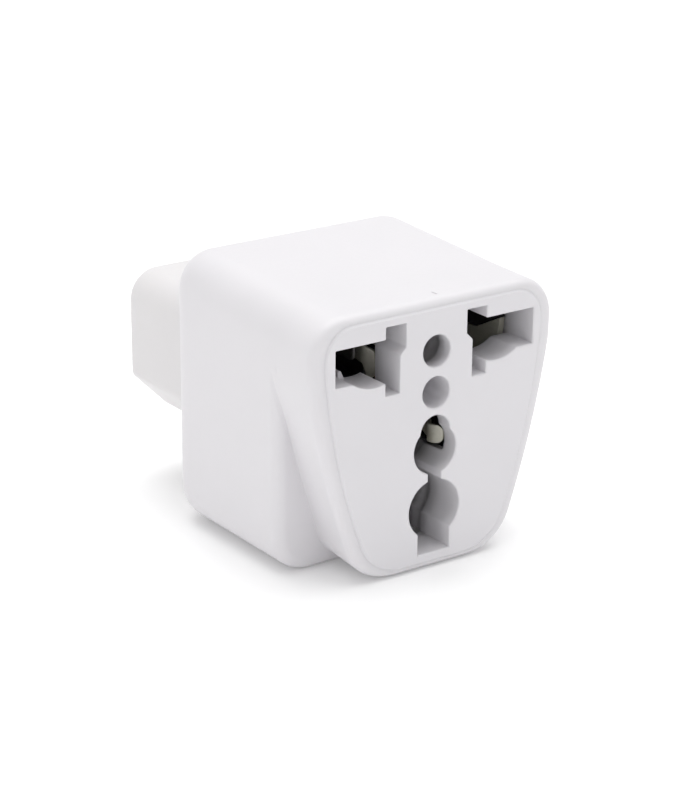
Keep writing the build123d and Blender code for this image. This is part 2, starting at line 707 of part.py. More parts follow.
# ---------------------------------------------------------------- write the pieces
pieces = {
    "housing": make_housing(),
    "face_plate": make_face_plate(),
    "plug_base": make_plug_base(),
    "blade_retainer": make_retainer(),
    "contact_carrier": make_carrier(),
    "line_terminal": make_pole_terminal(-1),
    "neutral_terminal": make_pole_terminal(1),
    "earth_terminal": make_earth_terminal(),
    "carrier_screws": Compound([make_screw(*place) for place in screw_places()]),
    "terminal_rivets": Compound([make_rivet(*place) for place in rivet_places()]),
}
for blade_name, blade_x, blade_z in blade_places():
    pieces[blade_name + "_blade"] = make_blade(blade_x, blade_z)
for pole, pole_side in (("line", -1), ("neutral", 1)):
    pieces[pole + "_inner_leaf"] = make_leaf(pole_side, inner_leaf_x, inner_tip, inner_line,
                                             inner_arm, inner_pad, short_pad)
    pieces[pole + "_middle_leaf"] = make_leaf(pole_side, middle_leaf_x, middle_tip, middle_line,
                                              middle_arm, middle_pad)
for hand, hand_side in (("left", -1), ("right", 1)):
    pieces["earth_upper_" + hand + "_leaf"] = make_leaf(
        hand_side, upper_leaf_x, upper_tip, upper_line, at_height(middle_earth_height, upper_arm),
        at_height(middle_earth_height, upper_pad))
    pieces["earth_lower_" + hand + "_leaf"] = make_leaf(
        hand_side, lower_leaf_x, lower_tip, lower_line, at_height(lower_earth_height, lower_arm),
        at_height(lower_earth_height, lower_pad))

for name, piece in pieces.items():
    export_step(piece, os.path.join("parts", name + ".step"))
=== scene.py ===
"""Travel adapter on a pale studio floor.

Sizes are in millimetres until a mesh is made. Depths run from the socket face towards the
plug, and heights are measured from the pin line, which joins the middles of the pole slots.
"""

import bpy
import math
import numpy as np
from mathutils import Matrix, Vector
from mathutils.geometry import delaunay_2d_cdt


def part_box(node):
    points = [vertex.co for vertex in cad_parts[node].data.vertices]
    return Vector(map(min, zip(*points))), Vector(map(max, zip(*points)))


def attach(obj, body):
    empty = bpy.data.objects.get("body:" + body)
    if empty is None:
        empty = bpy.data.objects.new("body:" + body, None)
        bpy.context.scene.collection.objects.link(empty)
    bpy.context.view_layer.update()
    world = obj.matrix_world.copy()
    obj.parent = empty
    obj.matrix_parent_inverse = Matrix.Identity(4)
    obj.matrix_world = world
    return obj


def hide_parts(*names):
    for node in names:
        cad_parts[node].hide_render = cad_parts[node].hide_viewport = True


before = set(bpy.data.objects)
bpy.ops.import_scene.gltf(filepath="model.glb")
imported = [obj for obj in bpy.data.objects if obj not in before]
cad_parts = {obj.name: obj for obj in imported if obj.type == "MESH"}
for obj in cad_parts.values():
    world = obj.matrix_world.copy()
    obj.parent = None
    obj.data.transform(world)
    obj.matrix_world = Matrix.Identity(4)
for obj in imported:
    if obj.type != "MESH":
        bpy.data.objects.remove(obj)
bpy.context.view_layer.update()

MM = 0.001
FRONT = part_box("face_plate")[0].y / MM          # socket face, in the frame
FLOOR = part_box("housing")[0].z / MM
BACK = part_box("housing")[1].y / MM - FRONT      # rear of the box
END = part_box("plug_base")[1].y / MM - FRONT     # rim of the plug's shroud
PIN_LINE = 28.7                                 # height above the floor
UNDERSIDE = FLOOR - PIN_LINE

# ---------------------------------------------------------------- sizes of the shell
BOX_HALF = 17.8               # half of the box's width
BOX_FRONT = 8.0               # depth where the tapered front meets the box
BOX_EDGE = 5.1                # round of its long edges
BOX_REAR_ROUND = 4.2
TOP_FRONT = 5.98              # height of the top at the rim
TOP_SLOPE = 0.047             # its rise for each millimetre of depth
WALL = 1.8
RIM = 0.25                    # depth of the rim behind the face
RIM_ROUND = 1.1               # how far the rim's soft edge reaches in from the side
RIM_DEPTH = 1.3               # how far it reaches back
SIDE_BEND = 16.0              # round where a tapered outline starts to narrow
SHOULDER_UPRIGHT = 3.4        # straight part of the shoulder's outline, under its top corner
SHOULDER_ROUND = 1.5
SHOULDER_INSET = 0.35         # how much further the shoulder draws in, lower down
INSET_HIGH, INSET_LOW = 1.0, -9.0     # heights between which that sets in
CREASE_FROM, CREASE_TO = 6.0, 11.0    # depths between which the shoulder is modelled finely
WINDOW_SOFT = 0.2             # soft edge of the plug's window

# ---------------------------------------------------------------- sizes of the face plate
PLATE_THICK = 2.3
PLATE_RAMP = 0.3              # width of the plate's soft edge
PLATE_LIP = 0.03              # its thin lip over the groove
LIP_THICK = 0.003             # its thickness, and its gap to the rim
PLATE_GAP = 0.004
PLATE_LEDGE = 0.6             # width of the shell's ledge that the plate rests on
MOUTH_SOFT = 0.14             # round of every opening's edge
EDGE_SOFT = 0.01              # round of the recess's edge

# right pole opening: places from the centre line, heights from the pin line
PIN_SLOT_END, PIN_SLOT_TOP, PIN_SLOT_FOOT = 14.75, 2.3, -2.34
BLADE_SLOT_IN, BLADE_SLOT_OUT, BLADE_SLOT_TOP, BLADE_SLOT_FOOT = 5.42, 7.53, 3.87, -4.76
STEP_IN, STEP_FOOT = 4.54, 0.88       # wider upper part of the blade slot
TROUGH_X, TROUGH_Z, TROUGH_ROUND = 9.1, 2.0, 5.35
POLE_SOFT = 0.09              # reach of the rounding of the opening's corners
POLE_SLEEVE = 5.2             # depth that the sleeve round the opening ends at
POLE_WALL = 0.54              # thickness of the sleeve
POLE_BEVEL = 0.04             # bevel of its end

# earth opening: middles' heights and radii of its circles, and half widths of the rest
EARTH_SMALL, EARTH_LARGE, EARTH_LOW = (-10.87, 2.2), (-13.1, 3.15), (-20.82, 3.8)
EARTH_NECK, EARTH_SLOT, EARTH_FOOT = 1.0, 2.4, -26.5
EARTH_COUNTS = (18, 56, 10, 62, 26, 22)       # points on each run of its right half
EARTH_SLEEVE = 6.0
EARTH_STEP_END = 9.6          # depth that the sleeve's wider step ends at
EARTH_STEP, EARTH_WALL = 0.5, 1.0     # how far the step and the outside lie from the opening
EARTH_REAR = 0.14             # the same for the rear edge of the part without a sleeve
SLEEVE_FROM, SLEEVE_TO = -14.54, -14.66       # heights between which the sleeve sets in
STEP_FLOOR, SLEEVE_FLOOR = -26.62, -27.08     # lowest points of the step and of the sleeve

CENTRE_HOLE, BLIND_HOLE = -0.47, -5.72        # heights of the small round holes
SMALL_HOLE_ROUND = 2.02
CENTRE_SLEEVE = 7.0           # depth that the sleeve behind the upper one ends at
CENTRE_STEP, CENTRE_WALL = 0.5, 0.83          # how far its inside and outside lie from the hole
BLIND_FLOOR, BLIND_BOSS = 6.0, 6.8            # depths of the lower one and of its boss
BLIND_WALL = 0.28

FIN_DEPTHS = (4.2, 5.18)
FIN_SECTION = ((10.5, -3.4), (11.08, -2.1), (11.14, -2.05), (11.46, -2.05), (11.5, -2.1),
               (11.5, -3.1))
HOOK_HEIGHTS = (-18.0, -14.0)
HOOK_SECTION = ((-1.2, 2.2), (0, 2.2), (0, 9.95), (0.8, 9.95), (0.8, 10.35), (0, 11.15),
                (-1.0, 11.15), (-1.2, 10.95))
HOOK_GAP = 0.15               # between a hook and the shell's ledge

# ---------------------------------------------------------------- sizes of the plug
PLUG_HALF, PLUG_TOP, PLUG_FOOT = 14.25, -0.25, -19.75
PLUG_CORNER, PLUG_CHAMFER = 4.0, 5.2
PLUG_SOFT = 0.35              # reach of the rounding of its corners
PLUG_GAP = 0.1                # between the plug and its window
FLANGE = 28.2                 # depth of the flange's inner side
FLANGE_GAP = 0.2              # between its edge and the box's wall
FLANGE_BEVEL = 0.2
SHROUD_FILLET = 0.3           # between the flange and the shroud
SHROUD_WALL = 2.0
SHROUD_ROUND, CAVITY_MOUTH_ROUND, CAVITY_ROUND = 0.8, 0.3, 0.5
CAVITY_FLOOR = 33.6

# ---------------------------------------------------------------- sizes of the leaves
LEAF_PIVOT = 19.4             # depth of the axis that a leaf turns about
LEAF_HALF_THICK = 0.225
LEAF_SOFT = 0.12              # soft long edges
TIP_ROUND = 1.1               # round corners of the tip
TIP_SHARE, TIP_LENGTH = 0.35, 0.35    # share of its thickness at the tip, and where it's full
PAD_FROM, PAD_TO = -0.7, 0.3  # where the pad's height goes over to the arm's, from its end
ROLL_START = 0.4              # how far before the pivot the strip ends
ROLL_RINGS = ((0.45, 0.0), (0.57, 0.05), (0.6, 0.12))     # radii and heights of its soft end
# foot: distance of the rolled foot from the centre line. tip: depth of the tip. line: places
# that the bent strip runs through, outwards from the foot and behind the tip, the last one
# behind the pivot. arm, pad: lowest and highest point. pad_length: how far back the pad goes.
LEAVES = {
    "inner": dict(foot=5.0, tip=6.0, line=((-0.35, 0), (0.42, 1.6), (0.05, 4.2), (0, -4.9)),
                  arm=(-3.1, -0.6), pad=(-5.0, -0.9), pad_length=1.4),
    "middle": dict(foot=7.5, tip=6.2, line=((0.25, 0), (-0.05, 2.0), (0.1, 4.3), (0, -4.9)),
                   arm=(-1.2, 1.2), pad=(-2.2, 2.2), pad_length=4.2),
    "upper": dict(foot=2.55, tip=2.75, line=((0.9, 0), (-0.13, 1.7), (1.0, 3.7), (0.25, -6.4)),
                  arm=(-13.6, -11.9), pad=(-14.0, -11.5), pad_length=4.2),
    "lower": dict(foot=2.2, tip=10.1, line=((0.9, 0), (-0.2, 1.8), (0.3, 4.3), (0.2, -2.6)),
                  arm=(-20.92, -19.22), pad=(-21.32, -18.82), pad_length=4.2),
}

# ---------------------------------------------------------------- moulding mark on the top
GATE_PLACE = (1.02, 2.06)
GATE_HEADING = (0.208, -0.978)
GATE_HALF_LONG, GATE_HALF_WIDE, GATE_HALF_HIGH = 0.5, 0.17, 0.16

# ---------------------------------------------------------------- floor, light and camera
FLOOR_REACH = 2.5             # metres from the middle to each side
FLOOR_GLOW = 0.08             # light that the paper gives off itself
SKY = 0.575                   # brightness overhead
HORIZON = 1.0                 # brightness near the floor's edge
HORIZON_TOP, SKY_FROM = 0.1, 0.22     # heights in the sky between which one turns to the other
OVERHEAD, LEFT_BOX = 7.4, 0.32        # watts of the two softboxes
LENS = 113.756345             # focal length for a sensor 36 mm high
CAMERA_PLACE = (-0.171153, -0.247091, 0.125100)       # metres above the floor
CAMERA_TURN = (-35.40, 90 - 20.03, 0.345)             # heading, tilt and roll in degrees

# ---------------------------------------------------------------- mesh density
# Counts of rings and points inside the functions set only how finely a surface is cut.
RAYS = 400                    # points in each ring of the shell and of the plug
MIDDLE = -10.0                # height of the point that the rays start from
FINE_STEP = 0.03              # between the points of an outline
HOLE_STEP = 0.11              # between the points of an opening
PLATE_STEP = 0.3              # between the points of the plate's edge


# ---------------------------------------------------------------- meshes
def signed_volume(points, faces):
    """Volume within faces, positive when they face outwards: a sum of tetrahedra that join
    each triangle to the origin, each a sixth of its corners' triple product."""
    triangles = np.array([(f[0], f[i], f[i + 1]) for f in faces for i in range(1, len(f) - 1)])
    a, b, c = (points[triangles[:, k]] for k in range(3))
    return np.einsum("ij,ij->i", a, np.cross(b, c)).sum() / 6


def outwards(points, faces):
    """The faces, turned over together if the volume they enclose is negative."""
    return [f[::-1] for f in faces] if signed_volume(points, faces) < 0 else faces


def solid(name, points, faces, body="root", replaces=(), material=None, flat=None):
    """Make one closed piece. points are in millimetres as x, depth and height; the faces whose
    numbers are in flat are shaded flat and all others smooth."""
    points = np.asarray(points, float)
    place = np.stack([points[:, 0], points[:, 1] + FRONT, points[:, 2] + PIN_LINE], 1) * MM
    faces = outwards(place, faces)
    mesh = bpy.data.meshes.new(name)
    mesh.from_pydata(place.tolist(), [], [tuple(int(i) for i in f) for f in faces])
    smooth = np.ones(len(mesh.polygons), bool)
    if flat is not None:
        smooth[np.asarray(flat, int)] = False
    mesh.polygons.foreach_set("use_smooth", smooth)
    mesh.update()
    piece = bpy.data.objects.new(name, mesh)
    bpy.context.scene.collection.objects.link(piece)
    if material is not None:
        mesh.materials.append(material)
    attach(piece, body)
    if replaces:
        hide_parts(*replaces)
    return piece


def loop_faces(rings, count, start=0, closed=False):
    """Quads between neighbouring rings of count points: each joins two points of one ring to
    the same two of the next. closed also joins the last ring to the first."""
    k = np.arange(rings if closed else rings - 1)[:, None]
    i = np.arange(count)[None, :]
    here = start + k * count
    there = start + ((k + 1) % rings) * count
    ahead = (i + 1) % count
    quads = np.stack([here + i, here + ahead, there + ahead, there + i], -1)
    return [tuple(q) for q in quads.reshape(-1, 4)]


def fan_faces(ring_start, count, pole):
    """Triangles that close a ring onto one pole point."""
    return [(ring_start + i, ring_start + (i + 1) % count, pole) for i in range(count)]


# ---------------------------------------------------------------- outlines
def arc(cx, cy, radius, start, end, step=FINE_STEP):
    """Points on a circle from one angle to another, in degrees measured below the x axis:
    the middle plus the radius times the angle's cosine along, less it times the sine up."""
    count = max(3, int(abs(math.radians(end - start)) * radius / step))
    turn = np.radians(np.linspace(start, end, count))
    return np.stack([cx + radius * np.cos(turn), cy - radius * np.sin(turn)], 1)


def straight(start, end, step=FINE_STEP):
    """Evenly spaced points on a line."""
    start, end = np.asarray(start, float), np.asarray(end, float)
    count = max(2, int(np.hypot(*(end - start)) / step))
    return start + (end - start) * np.linspace(0, 1, count)[:, None]


def joined(runs):
    """Chain runs of points into one closed loop without its repeated points."""
    loop = np.concatenate(runs)
    keep = np.hypot(*(loop - np.roll(loop, 1, 0)).T) > 1e-6
    return loop[keep]


def mirrored(half):
    """Close a right half, given from top to bottom, with its mirror image."""
    return joined([half, half[::-1] * (-1, 1)])


def spaced(loop, step):
    """Resample a closed loop at equal distances along its length: the running length is
    found at every point, and each new point lies between its two neighbours."""
    closed = np.concatenate([loop, loop[:1]])
    along = np.concatenate([[0], np.cumsum(np.hypot(*np.diff(closed, axis=0).T))])
    count = int(round(along[-1] / step))
    at = np.arange(count) * along[-1] / count
    return np.stack([np.interp(at, along, closed[:, k]) for k in (0, 1)], 1)


def softened(loop, reach, step):
    """Round every corner of a closed loop: each point becomes the bell-weighted mean of the
    points within a few times reach along the loop."""
    loop = spaced(loop, step)
    offsets = np.arange(-int(4 * reach / step), int(4 * reach / step) + 1)
    weights = np.exp(-0.5 * (offsets * step / reach) ** 2)
    weights /= weights.sum()
    return sum(w * np.roll(loop, -o, 0) for w, o in zip(weights, offsets))


def grown(loop, distance):
    """Move a closed loop outwards along its normals, which are a quarter turn from its tangents."""
    tangent = np.roll(loop, -1, 0) - np.roll(loop, 1, 0)
    normal = np.stack([tangent[:, 1], -tangent[:, 0]], 1)
    normal /= np.hypot(*normal.T)[:, None]
    area = (loop[:, 0] * np.roll(loop[:, 1], -1) - np.roll(loop[:, 0], -1) * loop[:, 1]).sum()
    return loop + normal * np.sign(area) * np.asarray(distance).reshape(-1, 1)


def smooth_step(value, low, high):
    """Cubic rise from 0 to 1 between two values: three times the squared share of the way,
    less twice its cube."""
    share = np.clip((value - low) / (high - low), 0, 1)
    return share * share * (3 - 2 * share)


def tapered(half, top, bottom, top_round, upright, turn, long_round, foot_round, inset=0.0):
    """Outline, widest under its top corners, that narrows downwards, drawn a distance inset
    inside itself. Under the upright a bend turns the side by turn degrees; a long arc goes on
    from there and the foot's round takes over. They touch without a corner where the sine of
    the lean is the drop left, plus the long arc's reach times the sine of turn, over the
    difference of the two rounds."""
    bend_round = SIDE_BEND - inset
    half, top, bottom = half - inset, top - inset, bottom + inset
    top_round, long_round, foot_round = top_round - inset, long_round - inset, foot_round - inset
    reach = long_round - bend_round
    bend = top - top_round - upright
    drop = top - bottom - top_round - upright - foot_round
    lean = math.degrees(math.asin((drop + reach * math.sin(math.radians(turn)))
                                  / (long_round - foot_round)))
    lower = arc(half - bend_round - reach * math.cos(math.radians(turn)),
                bend + reach * math.sin(math.radians(turn)), long_round, turn, lean)
    foot_x = lower[-1, 0] - foot_round * math.cos(math.radians(lean))
    right = joined([straight((0, top), (half - top_round, top)),
                    arc(half - top_round, top - top_round, top_round, -90, 0),
                    straight((half, top - top_round), (half, bend)),
                    arc(half - bend_round, bend, bend_round, 0, turn), lower,
                    arc(foot_x, bottom + foot_round, foot_round, lean, 90),
                    straight((foot_x, bottom), (0, bottom))])
    return mirrored(right)


def rounded_box(half, top, bottom, corner):
    """Rectangle with four round corners."""
    right = joined([straight((0, top), (half - corner, top)),
                    arc(half - corner, top - corner, corner, -90, 0),
                    straight((half, top - corner), (half, bottom + corner)),
                    arc(half - corner, bottom + corner, corner, 0, 90),
                    straight((half - corner, bottom), (0, bottom))])
    return mirrored(right)


def top_height(depth):
    """Height of the sloping top at a depth: its height at the rim plus the slope times the
    depth behind the rim."""
    return TOP_FRONT + TOP_SLOPE * (depth - RIM)


def rim_loop():
    """Outline of the tapered front at its rim."""
    return tapered(half=18.05, top=TOP_FRONT, bottom=UNDERSIDE, top_round=4.9, upright=1.5,
                   turn=8.3, long_round=104.0, foot_round=6.8)


def shoulder_loop():
    """Outline of the tapered front where it meets the box."""
    return tapered(half=BOX_HALF, top=top_height(BOX_FRONT), bottom=UNDERSIDE + 0.6,
                   top_round=BOX_EDGE, upright=SHOULDER_UPRIGHT, turn=13.0, long_round=168.0,
                   foot_round=5.2)


def plate_loop(inset):
    """Outline of the face plate, drawn a distance inside itself."""
    return tapered(half=16.15, top=4.97, bottom=UNDERSIDE + 0.9, top_round=4.0, upright=0.3,
                   turn=5.0, long_round=84.0, foot_round=6.6, inset=inset)


def box_loop(depth):
    """Outline of the box at a depth."""
    return rounded_box(BOX_HALF, top_height(depth), UNDERSIDE, BOX_EDGE)


def room_loop(depth):
    """Outline of the space inside the box at a depth."""
    return rounded_box(BOX_HALF - WALL, top_height(depth) - WALL, UNDERSIDE + WALL,
                       BOX_EDGE - WALL)


def plug_loop(inset):
    """Appliance-plug outline, drawn a distance inside itself: round upper corners and
    chamfered lower ones, their edges soft. The chamfer shortens by inset times two less the
    root of two, which keeps its wall as thick as the others."""
    half, top, bottom = PLUG_HALF - inset, PLUG_TOP - inset, PLUG_FOOT + inset
    cut = PLUG_CHAMFER - inset * (2 - math.sqrt(2))
    corner = PLUG_CORNER - inset
    right = joined([straight((0, top), (half - corner, top)),
                    arc(half - corner, top - corner, corner, -90, 0),
                    straight((half, top - corner), (half, bottom + cut)),
                    straight((half, bottom + cut), (half - cut, bottom)),
                    straight((half - cut, bottom), (0, bottom))])
    return softened(mirrored(right), PLUG_SOFT, FINE_STEP)


# ---------------------------------------------------------------- rays
def ray_angles():
    """Ray angles whose ends lie evenly along the box outline, seen from its middle."""
    loop = spaced(box_loop(BOX_FRONT), 0.02)
    loop = loop[(np.arange(RAYS) * len(loop)) // RAYS]
    return np.sort(np.arctan2(loop[:, 1] - MIDDLE, loop[:, 0]))


rays = ray_angles()


def reach_of(loop):
    """Distance from the middle to a loop along each ray, interpolated over the angle."""
    angle = np.arctan2(loop[:, 1] - MIDDLE, loop[:, 0])
    order = np.argsort(angle)
    distance = np.hypot(loop[:, 0], loop[:, 1] - MIDDLE)
    return np.interp(rays, angle[order], distance[order], period=2 * math.pi)


def ray_loop(reach):
    """Points of a loop from its reach along each ray."""
    return np.stack([reach * np.cos(rays), MIDDLE + reach * np.sin(rays)], 1)


def drawn_in(reach, distance):
    """Reach of the loop that lies a distance inside another."""
    return reach_of(grown(ray_loop(reach), -distance))


def ray_points(profile):
    """Turn pairs of reach and depth, one pair a ring, into points: each lies its reach times
    the ray's cosine from the centre line and its reach times the sine above the middle."""
    rings = []
    for reach, depth in profile:
        reach = np.broadcast_to(reach, rays.shape)
        depth = np.broadcast_to(depth, rays.shape)
        rings.append(np.stack([reach * np.cos(rays), depth, MIDDLE + reach * np.sin(rays)], 1))
    return np.concatenate(rings)


def quarter(count, first=True):
    """Evenly spaced angles over a quarter turn, in radians."""
    turns = np.linspace(0, math.pi / 2, count)
    return turns if first else turns[1:]


def resampled(reach, depth, count):
    """Share out points evenly by length along each ray's own profile: the running length of
    the profile is found for all rays at once, and each new point lies between its neighbours."""
    step = np.hypot(np.diff(reach, axis=0), np.diff(depth, axis=0))
    along = np.concatenate([np.zeros((1, len(rays))), np.cumsum(step, 0)])
    along /= along[-1]
    wanted = np.linspace(0, 1, count)[:, None, None]
    low = np.clip((along[None] <= wanted).sum(1) - 1, 0, len(along) - 2)
    before, after = (np.take_along_axis(along, k, 0) for k in (low, low + 1))
    share = (wanted[:, 0] - before) / np.maximum(after - before, 1e-9)
    return [np.take_along_axis(v, low, 0) * (1 - share)
            + np.take_along_axis(v, low + 1, 0) * share for v in (reach, depth)]


# ---------------------------------------------------------------- shell
mouth_reach = reach_of(plate_loop(-PLATE_GAP))
rim_reach = reach_of(rim_loop())
lower_part = smooth_step(MIDDLE + reach_of(shoulder_loop()) * np.sin(rays), INSET_HIGH, INSET_LOW)
shoulder_reach = reach_of(shoulder_loop()) - SHOULDER_INSET * lower_part


def front_reach(depth):
    """Reach of the tapered front at a depth, on straight lines from the rim to the shoulder."""
    share = (depth - RIM) / (BOX_FRONT - RIM)
    return rim_reach * (1 - share) + shoulder_reach * share


def box_reach(depth):
    """Reach of the box at a depth."""
    return reach_of(box_loop(depth))


def rim_rings():
    """Recess edge, flat rim and its soft outer edge, a quarter ellipse that is narrower where
    the rim is narrow, then the tapered front up to where its crease starts."""
    rings = []
    for turn in quarter(4):
        rings.append((mouth_reach + EDGE_SOFT * (1 - math.cos(turn)),
                      RIM + EDGE_SOFT * (1 - math.sin(turn))))
    across = np.minimum(RIM_ROUND, (rim_reach - mouth_reach - EDGE_SOFT) * 0.94)
    for share in (0.5, 1.0):
        rings.append(((mouth_reach + EDGE_SOFT) * (1 - share)
                      + (rim_reach - across) * share, RIM))
    for turn in quarter(16, first=False):
        depth = RIM + RIM_DEPTH * (1 - math.cos(turn))
        rings.append((front_reach(depth) - across * (1 - math.sin(turn)), depth))
    for depth in np.linspace(RIM + RIM_DEPTH, CREASE_FROM, 10)[1:]:
        rings.append((front_reach(depth), depth))
    return rings


def shoulder_rings():
    """Crease between the tapered front and the box. The front's outline runs on until the
    box's round front edge, a quarter circle, rises past it; high up the two are one. The rings
    are shared out by length, and each becomes half itself and half its neighbours' mean."""
    upper = MIDDLE + shoulder_reach * np.sin(rays) \
        > top_height(BOX_FRONT) - BOX_EDGE - SHOULDER_UPRIGHT
    inner_edge = drawn_in(box_reach(BOX_FRONT), SHOULDER_ROUND)
    rise = np.maximum(0, np.where(upper, 0, inner_edge - shoulder_reach))
    reach, depths = [], []
    for depth in np.linspace(CREASE_FROM, BOX_FRONT, 40):
        reach.append(front_reach(depth))
        depths.append(np.full(RAYS, depth))
    for share in np.linspace(0, 1, 60)[1:]:
        reach.append(shoulder_reach + share * rise)
        depths.append(np.full(RAYS, BOX_FRONT))
    for turn in quarter(50, first=False):
        depth = BOX_FRONT + SHOULDER_ROUND * (1 - math.cos(turn))
        edge = drawn_in(box_reach(depth), SHOULDER_ROUND * (1 - math.sin(turn)))
        reach.append(np.maximum(np.where(upper, box_reach(depth), shoulder_reach), edge))
        depths.append(np.full(RAYS, depth))
    for depth in np.linspace(BOX_FRONT + SHOULDER_ROUND, CREASE_TO, 30)[1:]:
        reach.append(box_reach(depth))
        depths.append(np.full(RAYS, depth))
    reach, depths = resampled(np.array(reach), np.array(depths), 72)
    reach[1:-1] = reach[1:-1] / 2 + (reach[:-2] + reach[2:]) / 4
    depths[1:-1] = depths[1:-1] / 2 + (depths[:-2] + depths[2:]) / 4
    return list(zip(reach[1:], depths[1:]))


def rear_rings():
    """Box, its round rear edges and the plug's window with a soft edge. The rear round stops
    where it meets the window, and from there on a ray keeps its depth."""
    rings = [(box_reach(depth), depth)
             for depth in np.linspace(CREASE_TO, BACK - BOX_REAR_ROUND, 12)[1:]]
    window = reach_of(plug_loop(-PLUG_GAP))
    edge = window + WINDOW_SOFT
    last = np.full(RAYS, BACK)
    for turn in quarter(25, first=False):
        depth = BACK - BOX_REAR_ROUND * (1 - math.sin(turn))
        reach = drawn_in(box_reach(depth), BOX_REAR_ROUND * (1 - math.cos(turn)))
        last = np.where((reach <= edge) & (last == BACK), depth, last)
        rings.append((np.maximum(reach, edge), np.minimum(depth, last)))
    rear = rings[-1][0]
    for share in np.linspace(0, 1, 6)[1:]:
        rings.append((rear * (1 - share) + edge * share, last))
    for turn in quarter(4, first=False):
        rings.append((window + WINDOW_SOFT * (1 - math.sin(turn)),
                      last - WINDOW_SOFT * (1 - math.cos(turn))))
    return rings + [(window, BACK - WALL)]


def inner_rings():
    """Inside of the box, the throat of the tapered front and the ledge under the plate."""
    rings = [(reach_of(room_loop(BACK - WALL)), BACK - WALL)]
    for depth in np.linspace(BACK - WALL, BOX_FRONT + WALL, 8)[1:]:
        rings.append((reach_of(room_loop(depth)), depth))
    throat = reach_of(plate_loop(PLATE_LEDGE))
    for depth in np.linspace(BOX_FRONT + WALL, PLATE_THICK, 5):
        rings.append((throat, depth))
    return rings + [(mouth_reach, PLATE_THICK)]


def make_shell(material):
    """Housing: rings of ray points run round the whole wall, from the plate's recess over the
    rim, along the tapered front, up the shoulder, along the box, round its rear edges to the
    plug's window, and back along the inside to the recess."""
    profile = rim_rings() + shoulder_rings() + rear_rings() + inner_rings()
    return solid("shell", ray_points(profile), loop_faces(len(profile), RAYS, closed=True),
                 replaces=("housing",), material=material)


def make_gate_mark(material):
    """Moulding gate's vestige on the top near the rim: a flat ellipsoid sunk to half its
    height, long along one heading. Its points are the products of the cosines and sines of
    two angles, one round it and one from its foot to its top."""
    around, over = np.meshgrid(np.linspace(0, 2 * math.pi, 40, endpoint=False),
                               np.linspace(-math.pi / 2, math.pi / 2, 13)[1:-1])
    along = GATE_HALF_LONG * np.cos(over) * np.cos(around)
    wide = GATE_HALF_WIDE * np.cos(over) * np.sin(around)
    place, heading = np.array(GATE_PLACE), np.array(GATE_HEADING)
    flat = place + along[..., None] * heading + wide[..., None] * heading[::-1] * (-1, 1)
    height = top_height(flat[..., 1]) + GATE_HALF_HIGH * np.sin(over)
    points = np.concatenate([flat, height[..., None]], -1).reshape(-1, 3)
    poles = [[*place, top_height(place[1]) + GATE_HALF_HIGH * s] for s in (-1, 1)]
    rings, count = around.shape
    faces = loop_faces(rings, count)
    faces += [f[::-1] for f in fan_faces(0, count, len(points))]
    faces += fan_faces(len(points) - count, count, len(points) + 1)
    return solid("gate_mark", np.concatenate([points, poles]), faces,
                 material=material)


# ---------------------------------------------------------------- openings of the face plate
def pole_loop(side):
    """Opening of one pole: flat-pin slot, stepped slot for flat blades, round-pin trough. The
    trough's ends are where its circle meets the slots: the root of its squared radius less
    the squared distance of the slot's edge from its middle."""
    right_end = TROUGH_X + math.sqrt(TROUGH_ROUND ** 2 - (TROUGH_Z - PIN_SLOT_FOOT) ** 2)
    left_end = TROUGH_Z - math.sqrt(TROUGH_ROUND ** 2 - (TROUGH_X - BLADE_SLOT_OUT) ** 2)
    turns = [math.degrees(math.asin((TROUGH_Z - z) / TROUGH_ROUND))
             for z in (PIN_SLOT_FOOT, left_end)]
    corners = [(STEP_IN, BLADE_SLOT_TOP), (BLADE_SLOT_OUT, BLADE_SLOT_TOP),
               (BLADE_SLOT_OUT, PIN_SLOT_TOP), (PIN_SLOT_END, PIN_SLOT_TOP),
               (PIN_SLOT_END, PIN_SLOT_FOOT), (right_end, PIN_SLOT_FOOT)]
    runs = [straight(a, b) for a, b in zip(corners[:-1], corners[1:])]
    runs.append(arc(TROUGH_X, TROUGH_Z, TROUGH_ROUND, turns[0], 180 - turns[1]))
    corners = [(BLADE_SLOT_OUT, left_end), (BLADE_SLOT_OUT, BLADE_SLOT_FOOT),
               (BLADE_SLOT_IN, BLADE_SLOT_FOOT), (BLADE_SLOT_IN, 0), (STEP_IN, STEP_FOOT),
               (STEP_IN, BLADE_SLOT_TOP)]
    runs += [straight(a, b) for a, b in zip(corners[:-1], corners[1:])]
    return softened(joined(runs) * (side, 1), POLE_SOFT, HOLE_STEP)


